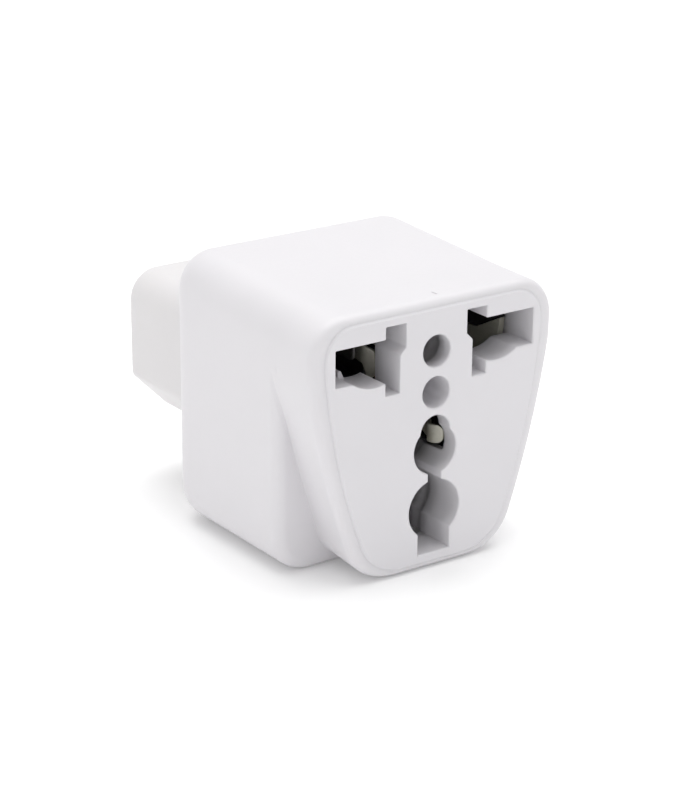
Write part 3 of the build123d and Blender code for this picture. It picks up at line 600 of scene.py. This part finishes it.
def earth_runs(grow):
    """Right half of the earth opening, grown by a distance: two circles that run together over
    a neck, and a circle over a slot. Each run has its own fixed number of points. Two circles
    cross where the difference of their squared radii, plus the squared distance of their
    middles, over twice that distance, lies from the first one's middle."""
    small, large, low = ((height, radius + grow)
                         for height, radius in (EARTH_SMALL, EARTH_LARGE, EARTH_LOW))
    gap = small[0] - large[0]
    rise = (large[1] ** 2 - small[1] ** 2 + gap ** 2) / (2 * gap)
    far = large[0] - low[0]
    cross = (large[1] ** 2 - low[1] ** 2 + far ** 2) / (2 * far)
    waist = max(EARTH_NECK + grow, math.sqrt(max(0, large[1] ** 2 - cross ** 2)))
    width, bottom = EARTH_SLOT + grow, EARTH_FOOT - grow

    def round_run(circle, start, end, count):
        turn = np.linspace(start, end, count, endpoint=False)
        return np.stack([circle[1] * np.cos(turn), circle[0] - circle[1] * np.sin(turn)], 1)

    def line_run(start, end, count):
        share = np.linspace(0, 1, count, endpoint=False)[:, None]
        return np.array(start) + (np.array(end) - np.array(start)) * share

    small_end = -math.asin((rise - gap) / small[1])
    large_start = -math.asin(rise / large[1])
    large_end, low_start = math.acos(waist / large[1]), -math.acos(waist / low[1])
    low_end = math.acos(width / low[1])
    knee = low[0] - low[1] * math.sin(low_end)
    counts = EARTH_COUNTS
    return [round_run(small, -math.pi / 2, small_end, counts[0]),
            round_run(large, large_start, large_end, counts[1]),
            line_run((waist, large[0] - large[1] * math.sin(large_end)),
                     (waist, low[0] - low[1] * math.sin(low_start)), counts[2]),
            round_run(low, low_start, low_end, counts[3]),
            line_run((width, knee), (width, bottom), counts[4]),
            line_run((width, bottom), (0, bottom), counts[5])]


def earth_loop(grow=0.0):
    """Earth opening grown by a distance, always with the same number of points, its corners
    softened by a bell-weighted mean of neighbouring points."""
    right = np.concatenate(earth_runs(grow))
    foot = np.array([[0, EARTH_FOOT - grow]])
    loop = np.concatenate([right, foot, right[:0:-1] * (-1, 1)])
    weights = np.exp(-0.5 * (np.arange(-3, 4) / 0.8) ** 2)
    weights /= weights.sum()
    return sum(w * np.roll(loop, o, 0) for w, o in zip(weights, range(3, -4, -1)))


def round_loop(height):
    """Small round hole."""
    return spaced(arc(0, height, SMALL_HOLE_ROUND, 0, 360)[:-1], HOLE_STEP)


def inside(points, loop):
    """Whether each point lies in a closed loop, by counting the loop's crossings to its right."""
    x, y = points[:, 0:1], points[:, 1:2]
    ax, ay = loop[:, 0], loop[:, 1]
    bx, by = np.roll(loop, -1, 0).T
    crosses = (ay > y) != (by > y)
    where = ax + (y - ay) * (bx - ax) / np.where(by == ay, 1, by - ay)
    return (crosses & (where > x)).sum(1) % 2 == 1


def filled(outer, holes):
    """Triangles of a flat face between an outer loop and its holes: Delaunay triangles of all
    the loops' points, less those whose middles lie outside the outer loop or in a hole."""
    loops = [outer] + holes
    points = np.concatenate(loops)
    edges, start = [], 0
    for loop in loops:
        k = np.arange(len(loop))
        edges += [(int(start + a), int(start + b)) for a, b in zip(k, (k + 1) % len(loop))]
        start += len(loop)
    found = delaunay_2d_cdt([tuple(p) for p in points], edges, [], 0, 1e-5)
    cells, origin = found[2], found[3]
    first = [o[0] if o else -1 for o in origin]
    cells = np.array([[first[i] for i in cell] for cell in cells])
    middle = points[cells].mean(1)
    keep = inside(middle, outer) & (cells >= 0).all(1)
    for hole in holes:
        keep &= ~inside(middle, hole)
    return cells[keep]


# ---------------------------------------------------------------- face plate
class Skin:
    """Points and faces of one moulding, gathered wall by wall."""

    def __init__(self):
        self.points, self.faces, self.flat = [], [], []
        self.count = 0

    def wall(self, rings):
        """Join rings of equally many points by quads, and number the first and last ring."""
        size = len(rings[0])
        first = self.count + np.arange(size)
        self.points.append(np.concatenate(rings))
        self.faces.extend(loop_faces(len(rings), size, self.count))
        self.count += len(rings) * size
        return first, first + (len(rings) - 1) * size

    def floor(self, ring, pole):
        """Close the bottom of a hole from its last ring onto a pole point."""
        self.points.append(np.array([pole]))
        self.faces.extend(fan_faces(int(ring[0]), len(ring), self.count))
        self.count += 1

    def plane(self, edges, turned=False):
        """Fill the flat face within the first of some numbered loops and outside the rest."""
        loops = [loop for loop, _ in edges]
        cells = np.concatenate([numbers for _, numbers in edges])[filled(loops[0], loops[1:])]
        self.flat += range(len(self.faces), len(self.faces) + len(cells))
        self.faces.extend(tuple(c) for c in (cells[:, ::-1] if turned else cells))

    def block(self, ends):
        """Add a block between two outlines with as many points each."""
        count = len(ends[0])
        points = np.array(ends, float).reshape(-1, 3)
        sides = loop_faces(2, count) + [tuple(range(count))[::-1],
                                        tuple(range(count, 2 * count))]
        self.flat += range(len(self.faces), len(self.faces) + len(sides))
        self.faces.extend(tuple(i + self.count for i in f) for f in outwards(points, sides))
        self.points.append(points)
        self.count += len(points)


def ring(loop, depth):
    """Points of a loop at a depth, or at a depth of their own each."""
    depth = np.broadcast_to(depth, (len(loop),))
    return np.stack([loop[:, 0], depth, loop[:, 1]], 1)


def mouth_rings(wider):
    """Soft edge of an opening: a quarter circle from the face into the wall. wider gives the
    opening's loop grown by a distance."""
    return [ring(wider(MOUTH_SOFT * (1 - math.sin(t))), MOUTH_SOFT * (1 - math.cos(t)))
            for t in quarter(6)]


def plate_edge(skin):
    """Plate's soft outer edge, which slopes as a cubic step down to the lip, and its side."""
    outline = spaced(plate_loop(0), PLATE_STEP)
    rings = [ring(grown(outline, (PLATE_RAMP + PLATE_LIP) * t - PLATE_RAMP),
                  (RIM - 2 * LIP_THICK) * smooth_step(t, 0, 1)) for t in np.linspace(0, 1, 10)]
    rings += [ring(grown(outline, PLATE_LIP), RIM - LIP_THICK), ring(outline, RIM - LIP_THICK)]
    rings += [ring(outline, d) for d in (1.0, PLATE_THICK)]
    first, last = skin.wall(rings)
    return (grown(outline, -PLATE_RAMP), first), (outline, last)


def pole_opening(skin, side):
    """Pole opening with its sleeve, which ends in small bevels."""
    loop, bevel, wall = pole_loop(side), POLE_BEVEL, POLE_WALL
    rings = mouth_rings(lambda distance: grown(loop, distance))
    rings += [ring(loop, MOUTH_SOFT + (POLE_SLEEVE - 0.1 - MOUTH_SOFT) * s)
              for s in (0.33, 0.66, 1.0)]
    rings += [ring(grown(loop, bevel), POLE_SLEEVE), ring(grown(loop, wall - bevel), POLE_SLEEVE),
              ring(grown(loop, wall), POLE_SLEEVE - bevel), ring(grown(loop, wall), PLATE_THICK)]
    first, last = skin.wall(rings)
    return (grown(loop, MOUTH_SOFT), first), (grown(loop, wall), last)


def earth_opening(skin):
    """Earth opening. Its upper part ends at the plate's rear; its lower part goes on as a
    sleeve, which widens by a step, so each growth is a mix of an upper and a lower one by the
    cubic step of the point's height."""
    base = earth_loop()
    low = smooth_step(base[:, 1], SLEEVE_FROM, SLEEVE_TO)

    def widened(upper, lower, lowest):
        loop = base + (earth_loop(upper) - base) * (1 - low[:, None]) \
            + (earth_loop(lower) - base) * low[:, None]
        return np.stack([loop[:, 0], np.maximum(loop[:, 1], lowest)], 1)

    end = PLATE_THICK + 0.05 + (EARTH_SLEEVE - PLATE_THICK - 0.05) * low
    far = end + 0.02 + (EARTH_STEP_END - EARTH_SLEEVE) * low
    step = widened(0.05, EARTH_STEP, STEP_FLOOR)
    outside = widened(EARTH_REAR, EARTH_WALL, SLEEVE_FLOOR - 0.04)
    rings = mouth_rings(earth_loop)
    rings += [ring(base, MOUTH_SOFT + (end - 0.08 - MOUTH_SOFT) * s) for s in (0.33, 0.66, 1.0)]
    rings += [ring(widened(0.04, 0.06, -99), end), ring(step, end + 0.01)]
    rings += [ring(step, end + 0.01 + (far - end - 0.02) * s) for s in (0.5, 1.0)]
    rings += [ring(widened(0.1, EARTH_STEP + 0.05, STEP_FLOOR - 0.04), far),
              ring(widened(0.12, EARTH_WALL - 0.05, SLEEVE_FLOOR), far),
              ring(outside, far - 0.04 * low - 0.01), ring(outside, PLATE_THICK)]
    first, last = skin.wall(rings)
    return (earth_loop(MOUTH_SOFT), first), (outside, last)


def centre_hole(skin):
    """Upper small hole, with a wider sleeve behind it."""
    loop, inner, outer = round_loop(CENTRE_HOLE), CENTRE_STEP, CENTRE_WALL
    rings = mouth_rings(lambda distance: grown(loop, distance))
    rings += [ring(loop, d) for d in (1.0, PLATE_THICK - 0.05)]
    rings += [ring(grown(loop, 0.05), PLATE_THICK), ring(grown(loop, inner), PLATE_THICK)]
    rings += [ring(grown(loop, inner), d) for d in (4.5, CENTRE_SLEEVE)]
    rings += [ring(grown(loop, outer), d) for d in (CENTRE_SLEEVE, PLATE_THICK)]
    first, last = skin.wall(rings)
    return (grown(loop, MOUTH_SOFT), first), (grown(loop, outer), last)


def blind_hole(skin):
    """Lower small hole, which has a floor, and its boss behind the plate."""
    loop, centre, wall = round_loop(BLIND_HOLE), np.array([0, BLIND_HOLE]), BLIND_WALL

    def shrunk(share):
        return centre + (loop - centre) * share

    rings = mouth_rings(lambda distance: grown(loop, distance))
    rings += [ring(loop, d) for d in (2.0, 4.0, BLIND_FLOOR - 0.2)]
    rings += [ring(shrunk(share), BLIND_FLOOR) for share in (0.92, 0.5)]
    first, last = skin.wall(rings)
    skin.floor(last, [0, BLIND_FLOOR, BLIND_HOLE])
    rings = [ring(grown(loop, wall), d) for d in (PLATE_THICK, 4.5, BLIND_BOSS - 0.1)]
    rings += [ring(grown(loop, wall - 0.1), BLIND_BOSS), ring(shrunk(0.5), BLIND_BOSS)]
    rear, last = skin.wall([r[::-1] for r in rings])
    skin.floor(last, [0, BLIND_BOSS, BLIND_HOLE])
    return (grown(loop, MOUTH_SOFT), first), (grown(loop, wall)[::-1], rear)


def snap_hook(side):
    """Ends of a hook beside the shell's ledge: its section set off from the ledge's place at
    each of its heights."""
    throat = plate_loop(PLATE_LEDGE)
    throat = throat[throat[:, 0] > 5]
    throat = throat[np.argsort(throat[:, 1])]
    ends = []
    for height in HOOK_HEIGHTS:
        wall = np.interp(height, throat[:, 1], throat[:, 0]) - HOOK_GAP
        ends.append([(side * (wall + x), d, height) for x, d in HOOK_SECTION])
    return ends


def make_face(material):
    """Face plate: a flat front with softly rounded openings, each its own loop carried inwards
    along a wall, round the end of a sleeve, and back to the plate's rear; the stop fin in the
    line side's round-pin trough, and two snap hooks."""
    skin = Skin()
    edges = [plate_edge(skin), pole_opening(skin, -1), pole_opening(skin, 1),
             earth_opening(skin), centre_hole(skin), blind_hole(skin)]
    skin.plane([front for front, _ in edges])
    skin.plane([rear for _, rear in edges], turned=True)
    skin.block([[(-x, d, z) for x, z in FIN_SECTION] for d in FIN_DEPTHS])
    for side in (-1, 1):
        skin.block(snap_hook(side))
    return solid("face", np.concatenate(skin.points), skin.faces, replaces=("face_plate",),
                 material=material, flat=skin.flat)


# ---------------------------------------------------------------- plug base
def make_plug(material):
    """Plug moulding: rings from the middle of its inner flange out to the flange's edge, back
    along it, along the shroud, round its soft end, down the cavity and over its floor. Every
    soft edge is a quarter circle drawn in by its radius times one less the cosine."""
    room = drawn_in(reach_of(room_loop(FLANGE)), FLANGE_GAP)
    outer, inner = reach_of(plug_loop(0)), reach_of(plug_loop(SHROUD_WALL))
    profile = [(room * 0.5, FLANGE), (room - FLANGE_BEVEL, FLANGE), (room, FLANGE + FLANGE_BEVEL),
               (room, BACK - WALL), (outer + SHROUD_FILLET, BACK - WALL)]
    profile += [(outer, d) for d in (BACK - WALL + SHROUD_FILLET, BACK, 36.0, 40.0, 44.0,
                                     END - SHROUD_ROUND)]
    for turn in quarter(8, first=False):
        profile.append((drawn_in(outer, SHROUD_ROUND * (1 - math.cos(turn))),
                        END - SHROUD_ROUND * (1 - math.sin(turn))))
    for turn in quarter(5):
        profile.append((inner + CAVITY_MOUTH_ROUND * (1 - math.sin(turn)),
                        END - CAVITY_MOUTH_ROUND * (1 - math.cos(turn))))
    profile += [(inner, d) for d in (46.0, 42.0, 38.0, 34.2)]
    for turn in quarter(5, first=False):
        profile.append((drawn_in(inner, CAVITY_ROUND * (1 - math.cos(turn))),
                        CAVITY_FLOOR + CAVITY_ROUND * (1 - math.sin(turn))))
    floor = profile[-1][0]
    profile += [(floor * s, CAVITY_FLOOR) for s in (0.8, 0.5, 0.2)]
    points = ray_points(profile)
    count = len(points)
    faces = loop_faces(len(profile), RAYS) + fan_faces(count - RAYS, RAYS, count)
    faces += [f[::-1] for f in fan_faces(0, RAYS, count + 1)]
    points = np.concatenate([points, [[0, CAVITY_FLOOR, MIDDLE], [0, FLANGE, MIDDLE]]])
    return solid("plug", points, faces, replaces=("plug_base",),
                 material=material)


# ---------------------------------------------------------------- contact leaves
def curve_through(places, count):
    """Smooth path through a few places: a chain of cubic pieces whose slope at each place is
    the slope between its two neighbours, read at even parameter steps."""
    places = np.asarray(places, float)
    slope = np.gradient(places, axis=0)
    t = np.linspace(0, len(places) - 1, count)
    k = np.minimum(t.astype(int), len(places) - 2)
    u = (t - k)[:, None]
    a, b, sa, sb = places[k], places[k + 1], slope[k], slope[k + 1]
    return (a * (2 * u ** 3 - 3 * u ** 2 + 1) + sa * (u ** 3 - 2 * u ** 2 + u)
            + b * (3 * u ** 2 - 2 * u ** 3) + sb * (u ** 3 - u ** 2))


def leaf_strip(side, foot, tip, line, arm, pad, pad_length):
    """Bent strip of a leaf: a rounded-rectangle section carried along the line from its tip to
    its foot. The section's height goes over from the pad's to the arm's by a cubic step and
    drops round the tip's corners along a circle; its sides are powers of the cosine and sine
    of the angle round it."""
    places = [(foot + x, tip + d) for x, d in line[:-1]]
    places += [(foot + line[-1][0], LEAF_PIVOT + line[-1][1]), (foot, LEAF_PIVOT - ROLL_START)]
    path = curve_through(places, 110)
    along = np.concatenate([[0], np.cumsum(np.hypot(*np.diff(path, axis=0).T))])
    tangent = np.gradient(path, axis=0)
    normal = np.stack([tangent[:, 1], -tangent[:, 0]], 1)
    normal /= np.hypot(*normal.T)[:, None]

    pad_end = tip + pad_length
    blend = smooth_step(path[:, 1], pad_end + PAD_FROM, pad_end + PAD_TO)
    corner = TIP_ROUND - np.minimum(along, TIP_ROUND)
    drop = TIP_ROUND - np.sqrt(np.maximum(TIP_ROUND ** 2 - corner ** 2, 0))
    low = pad[0] + (arm[0] - pad[0]) * blend + drop * 0.9
    high = pad[1] + (arm[1] - pad[1]) * blend - drop * 0.9

    size = 24
    turn = np.linspace(0, 2 * math.pi, size, endpoint=False)
    u = np.sign(np.cos(turn)) * np.abs(np.cos(turn)) ** 0.25
    v = np.sign(np.sin(turn)) * np.abs(np.sin(turn)) ** 0.5
    taper = np.minimum(1, TIP_SHARE + along / TIP_LENGTH)[:, None]
    offset = LEAF_HALF_THICK * u[None, :] * taper
    half = (high - low)[:, None] / 2 - LEAF_SOFT * (1 - np.abs(u))[None, :]
    height = (low + high)[:, None] / 2 + half * v[None, :]
    x = side * (path[:, 0:1] + normal[:, 0:1] * offset)
    depth = path[:, 1:2] + normal[:, 1:2] * offset
    points = np.stack([x, depth, height], -1).reshape(-1, 3)
    faces = loop_faces(len(path), size)
    faces += [f[::-1] for f in fan_faces(0, size, len(points))]
    faces += fan_faces(len(points) - size, size, len(points) + 1)
    points = np.concatenate([points, [points[:size].mean(0), points[-size:].mean(0)]])
    return points, outwards(points, faces)


def rolled_foot(side, foot, arm):
    """Foot of a leaf: an upright round bar with soft ends, as a circle of each radius at each
    height above the arm's lower edge."""
    size = 36
    turn = np.linspace(0, 2 * math.pi, size, endpoint=False)
    stations = [*ROLL_RINGS, *((r, (arm[1] - arm[0]) - h) for r, h in ROLL_RINGS[::-1])]
    rings = [np.stack([side * foot + r * np.cos(turn), LEAF_PIVOT + r * np.sin(turn),
                       np.full(size, arm[0] + h)], 1) for r, h in stations]
    points = np.concatenate(rings)
    faces = loop_faces(len(rings), size)
    faces += [f[::-1] for f in fan_faces(0, size, len(points))]
    faces += fan_faces(len(points) - size, size, len(points) + 1)
    poles = [[side * foot, LEAF_PIVOT, height] for height in arm]
    points = np.concatenate([points, poles])
    return points, outwards(points, faces)


def make_leaf(node, side, sizes, material):
    """Spring leaf of one side: its bent strip and its rolled foot."""
    points, faces = leaf_strip(side, **sizes)
    bar, bar_faces = rolled_foot(side, sizes["foot"], sizes["arm"])
    faces = faces + [tuple(i + len(points) for i in f) for f in bar_faces]
    return solid(node + "_strip", np.concatenate([points, bar]), faces, body=node,
                 replaces=(node,), material=material)


# ---------------------------------------------------------------- materials
def nodes_of(name):
    """New node material with its main shader."""
    material = bpy.data.materials.new(name)
    material.use_nodes = True
    tree = material.node_tree
    return material, tree, tree.nodes["Principled BSDF"]


def noise(tree, place, scale, detail, rough=0.5, stretch=None):
    """Noise pattern on object coordinates, scale waves to the metre, with an optional stretch
    along the axes."""
    node = tree.nodes.new("ShaderNodeTexNoise")
    node.inputs["Scale"].default_value = scale
    node.inputs["Detail"].default_value = detail
    node.inputs["Roughness"].default_value = rough
    source = place.outputs["Object"]
    if stretch:
        mapping = tree.nodes.new("ShaderNodeMapping")
        mapping.inputs["Scale"].default_value = stretch
        tree.links.new(source, mapping.inputs["Vector"])
        source = mapping.outputs["Vector"]
    tree.links.new(source, node.inputs["Vector"])
    return node.outputs["Fac"]


def ramp(tree, factor, stops):
    """Colour ramp from places and colours."""
    node = tree.nodes.new("ShaderNodeValToRGB")
    while len(node.color_ramp.elements) < len(stops):
        node.color_ramp.elements.new(0.5)
    for element, (place, colour) in zip(node.color_ramp.elements, stops):
        element.position = place
        element.color = (*colour, 1)
    tree.links.new(factor, node.inputs["Fac"])
    return node.outputs["Color"]


def bumped(tree, shader, layers):
    """Chain bumps: each layer is a height, its strength and its depth in metres."""
    last = None
    for height, strength, depth in layers:
        node = tree.nodes.new("ShaderNodeBump")
        node.inputs["Strength"].default_value = strength
        node.inputs["Distance"].default_value = depth
        tree.links.new(height, node.inputs["Height"])
        if last is not None:
            tree.links.new(last, node.inputs["Normal"])
        last = node.outputs["Normal"]
    tree.links.new(last, shader.inputs["Normal"])


def range_of(tree, factor, low, high):
    """Map the middle of a noise pattern, 0.3 to 0.7, to a range of values."""
    node = tree.nodes.new("ShaderNodeMapRange")
    node.inputs["From Min"].default_value = 0.3
    node.inputs["From Max"].default_value = 0.7
    node.inputs["To Min"].default_value = low
    node.inputs["To Max"].default_value = high
    tree.links.new(factor, node.inputs["Value"])
    return node.outputs["Result"]


def moulded(name, light, dark, rough, grain, subsurface=0.0):
    """Moulded plastic: faint flow mottle in the colour, fine spark-eroded grain and slow
    waviness in the surface, and a roughness that varies in small specks."""
    material, tree, shader = nodes_of(name)
    place = tree.nodes.new("ShaderNodeTexCoord")
    mottle = noise(tree, place, scale=95.0, detail=3.0)
    specks = noise(tree, place, scale=1900.0, detail=2.0)
    colour = ramp(tree, mottle, [(0.3, dark), (0.7, light)])
    tree.links.new(colour, shader.inputs["Base Color"])
    tree.links.new(range_of(tree, specks, *rough), shader.inputs["Roughness"])
    grain_height = noise(tree, place, scale=5200.0, detail=3.0, rough=0.6)
    wave = noise(tree, place, scale=60.0, detail=1.0)
    bumped(tree, shader, [(wave, 0.25, 0.00012), (grain_height, grain, 0.00001)])
    shader.inputs["IOR"].default_value = 1.5
    shader.inputs["Specular IOR Level"].default_value = 0.5
    shader.inputs["Subsurface Weight"].default_value = subsurface
    shader.inputs["Subsurface Radius"].default_value = (1.0, 0.95, 0.9)
    shader.inputs["Subsurface Scale"].default_value = 0.0012
    return material


def stamped(name, light, dark, stain, rough, metallic=1.0):
    """Stamped sheet metal: rolling streaks, patches of tarnish and a fine scratch bump."""
    material, tree, shader = nodes_of(name)
    place = tree.nodes.new("ShaderNodeTexCoord")
    streaks = noise(tree, place, scale=700.0, detail=3.0, rough=0.6, stretch=(1.0, 0.12, 1.0))
    patches = noise(tree, place, scale=260.0, detail=4.0, rough=0.6)
    base = ramp(tree, streaks, [(0.3, dark), (0.7, light)])
    mask = ramp(tree, patches, [(0.52, (0.0, 0.0, 0.0)), (0.74, (1.0, 1.0, 1.0))])
    mix = tree.nodes.new("ShaderNodeMix")
    mix.data_type = "RGBA"
    mix.inputs["B"].default_value = (*stain, 1)
    tree.links.new(mask, mix.inputs["Factor"])
    tree.links.new(base, mix.inputs["A"])
    tree.links.new(mix.outputs["Result"], shader.inputs["Base Color"])
    tree.links.new(range_of(tree, patches, *rough), shader.inputs["Roughness"])
    bumped(tree, shader, [(streaks, 0.3, 0.00001), (patches, 0.2, 0.00002)])
    shader.inputs["Metallic"].default_value = metallic
    return material


shell_white = moulded("white_moulding", light=(0.743, 0.728, 0.750), dark=(0.730, 0.716, 0.738),
                      rough=(0.40, 0.52), grain=0.35, subsurface=0.12)
face_white = moulded("face_moulding", light=(0.735, 0.721, 0.745), dark=(0.722, 0.709, 0.733),
                     rough=(0.36, 0.48), grain=0.3, subsurface=0.12)
plug_white = moulded("plug_moulding", light=(0.731, 0.716, 0.722), dark=(0.714, 0.699, 0.705),
                     rough=(0.5, 0.62), grain=0.6, subsurface=0.1)
carrier_black = moulded("carrier_moulding", light=(0.030, 0.030, 0.032),
                        dark=(0.022, 0.022, 0.024), rough=(0.45, 0.6), grain=0.4)
pressed_board = moulded("pressed_board", light=(0.42, 0.27, 0.17), dark=(0.34, 0.21, 0.13),
                        rough=(0.6, 0.8), grain=0.7)
rivet_brass = stamped("terminal_brass", light=(0.66, 0.55, 0.33), dark=(0.56, 0.45, 0.25),
                      stain=(0.34, 0.25, 0.13), rough=(0.28, 0.5))
leaf_nickel = stamped("leaf_nickel", light=(0.62, 0.61, 0.53), dark=(0.54, 0.53, 0.45),
                      stain=(0.44, 0.42, 0.33), rough=(0.4, 0.6), metallic=0.5)
# Darker copy of the leaf nickel, with painted shade: the same metal, made dark for leaves that lie
# deep in shade inside their openings.
leaf_nickel_painted_shade = stamped("leaf_nickel_painted_shade", light=(0.17, 0.165, 0.16), dark=(0.14, 0.135, 0.13),
                    stain=(0.10, 0.095, 0.09), rough=(0.45, 0.6), metallic=0.9)
terminal_wash = stamped("terminal_wash", light=(0.66, 0.65, 0.56), dark=(0.58, 0.57, 0.48),
                        stain=(0.48, 0.45, 0.35), rough=(0.4, 0.6), metallic=0.25)
blade_plating = stamped("blade_plating", light=(0.74, 0.73, 0.70), dark=(0.64, 0.63, 0.60),
                        stain=(0.50, 0.48, 0.42), rough=(0.2, 0.35))
screw_zinc = stamped("screw_zinc", light=(0.62, 0.62, 0.64), dark=(0.50, 0.50, 0.53),
                     stain=(0.40, 0.38, 0.36), rough=(0.3, 0.5))

# ---------------------------------------------------------------- the pieces
make_shell(shell_white)
make_gate_mark(shell_white)
make_face(face_white)
make_plug(plug_white)
# The middle leaves and the upper left earth leaf get the nickel's copy with painted shade.
for node, kind, side, metal in (
        ("line_inner_leaf", "inner", -1, leaf_nickel),
        ("neutral_inner_leaf", "inner", 1, leaf_nickel),
        ("line_middle_leaf", "middle", -1, leaf_nickel_painted_shade),
        ("neutral_middle_leaf", "middle", 1, leaf_nickel_painted_shade),
        ("earth_upper_left_leaf", "upper", -1, leaf_nickel_painted_shade),
        ("earth_upper_right_leaf", "upper", 1, leaf_nickel),
        ("earth_lower_left_leaf", "lower", -1, leaf_nickel),
        ("earth_lower_right_leaf", "lower", 1, leaf_nickel)):
    make_leaf(node, side, LEAVES[kind], metal)

for node, material in (("blade_retainer", pressed_board), ("contact_carrier", carrier_black),
                       ("line_terminal", terminal_wash), ("neutral_terminal", terminal_wash),
                       ("earth_terminal", terminal_wash), ("line_blade", blade_plating),
                       ("neutral_blade", blade_plating), ("earth_blade", blade_plating),
                       ("carrier_screws", screw_zinc), ("terminal_rivets", rivet_brass)):
    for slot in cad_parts[node].material_slots:
        slot.material = material


# ---------------------------------------------------------------- floor, light and camera
def lay_floor():
    """Square sheet of pale paper that glows a little."""
    height = FLOOR * MM
    mesh = bpy.data.meshes.new("studio_floor")
    mesh.from_pydata([(x * FLOOR_REACH, y * FLOOR_REACH, height)
                      for x, y in ((-1, -1), (1, -1), (1, 1), (-1, 1))], [], [(0, 1, 2, 3)])
    floor = bpy.data.objects.new("studio_floor", mesh)
    bpy.context.scene.collection.objects.link(floor)
    paper, tree, shader = nodes_of("studio_paper")
    place = tree.nodes.new("ShaderNodeTexCoord")
    tone = ramp(tree, noise(tree, place, scale=3.0, detail=2.0),
                [(0.3, (0.95, 0.95, 0.95)), (0.7, (0.96, 0.96, 0.96))])
    tree.links.new(tone, shader.inputs["Base Color"])
    shader.inputs["Roughness"].default_value = 0.9
    shader.inputs["Specular IOR Level"].default_value = 0.1
    shader.inputs["Emission Color"].default_value = (1.0, 1.0, 1.0, 1)
    shader.inputs["Emission Strength"].default_value = FLOOR_GLOW
    mesh.materials.append(paper)


def light_sky():
    """Even sky that turns white towards the horizon: its brightness follows the upward part
    of the direction."""
    world = bpy.data.worlds.new("studio")
    bpy.context.scene.world = world
    world.use_nodes = True
    tree = world.node_tree
    direction = tree.nodes.new("ShaderNodeTexCoord")
    parts = tree.nodes.new("ShaderNodeSeparateXYZ")
    tree.links.new(direction.outputs["Generated"], parts.inputs["Vector"])
    tone = ramp(tree, parts.outputs["Z"], [(HORIZON_TOP, (HORIZON,) * 3), (SKY_FROM, (SKY,) * 3)])
    tree.links.new(tone, tree.nodes["Background"].inputs["Color"])
    tree.nodes["Background"].inputs["Strength"].default_value = 1.0


def softbox(name, place, aim, width, height, watts):
    """Rectangular light, its place and sizes in metres, whose face is turned to a point."""
    data = bpy.data.lights.new(name, "AREA")
    data.shape = "RECTANGLE"
    data.size, data.size_y = width, height
    data.energy = watts
    light = bpy.data.objects.new(name, data)
    bpy.context.scene.collection.objects.link(light)
    direction = Vector(aim) - Vector(place)
    light.rotation_euler = direction.to_track_quat("-Z", "Y").to_euler()
    light.location = place


def set_camera():
    """Camera turned by its heading about the vertical, its tilt about the level and its roll."""
    data = bpy.data.cameras.new("camera")
    camera = bpy.data.objects.new("camera", data)
    bpy.context.scene.collection.objects.link(camera)
    data.sensor_width = 36.0
    data.lens = LENS
    data.clip_start = 0.01
    x, y, height = CAMERA_PLACE
    heading, tilt, roll = (math.radians(angle) for angle in CAMERA_TURN)
    camera.matrix_world = (Matrix.Translation((x, y, height + FLOOR * MM))
                           @ Matrix.Rotation(heading, 4, "Z") @ Matrix.Rotation(tilt, 4, "X")
                           @ Matrix.Rotation(roll, 4, "Z"))
    bpy.context.scene.camera = camera


lay_floor()
light_sky()
softbox("overhead", (0.1, 0.1, 0.9), (0, 0, 0.02), 1.0, 1.0, OVERHEAD)
softbox("left_box", (-0.9, -0.1, 0.35), (0, 0, 0.02), 0.8, 0.6, LEFT_BOX)
set_camera()
bpy.context.scene.view_settings.view_transform = "Standard"
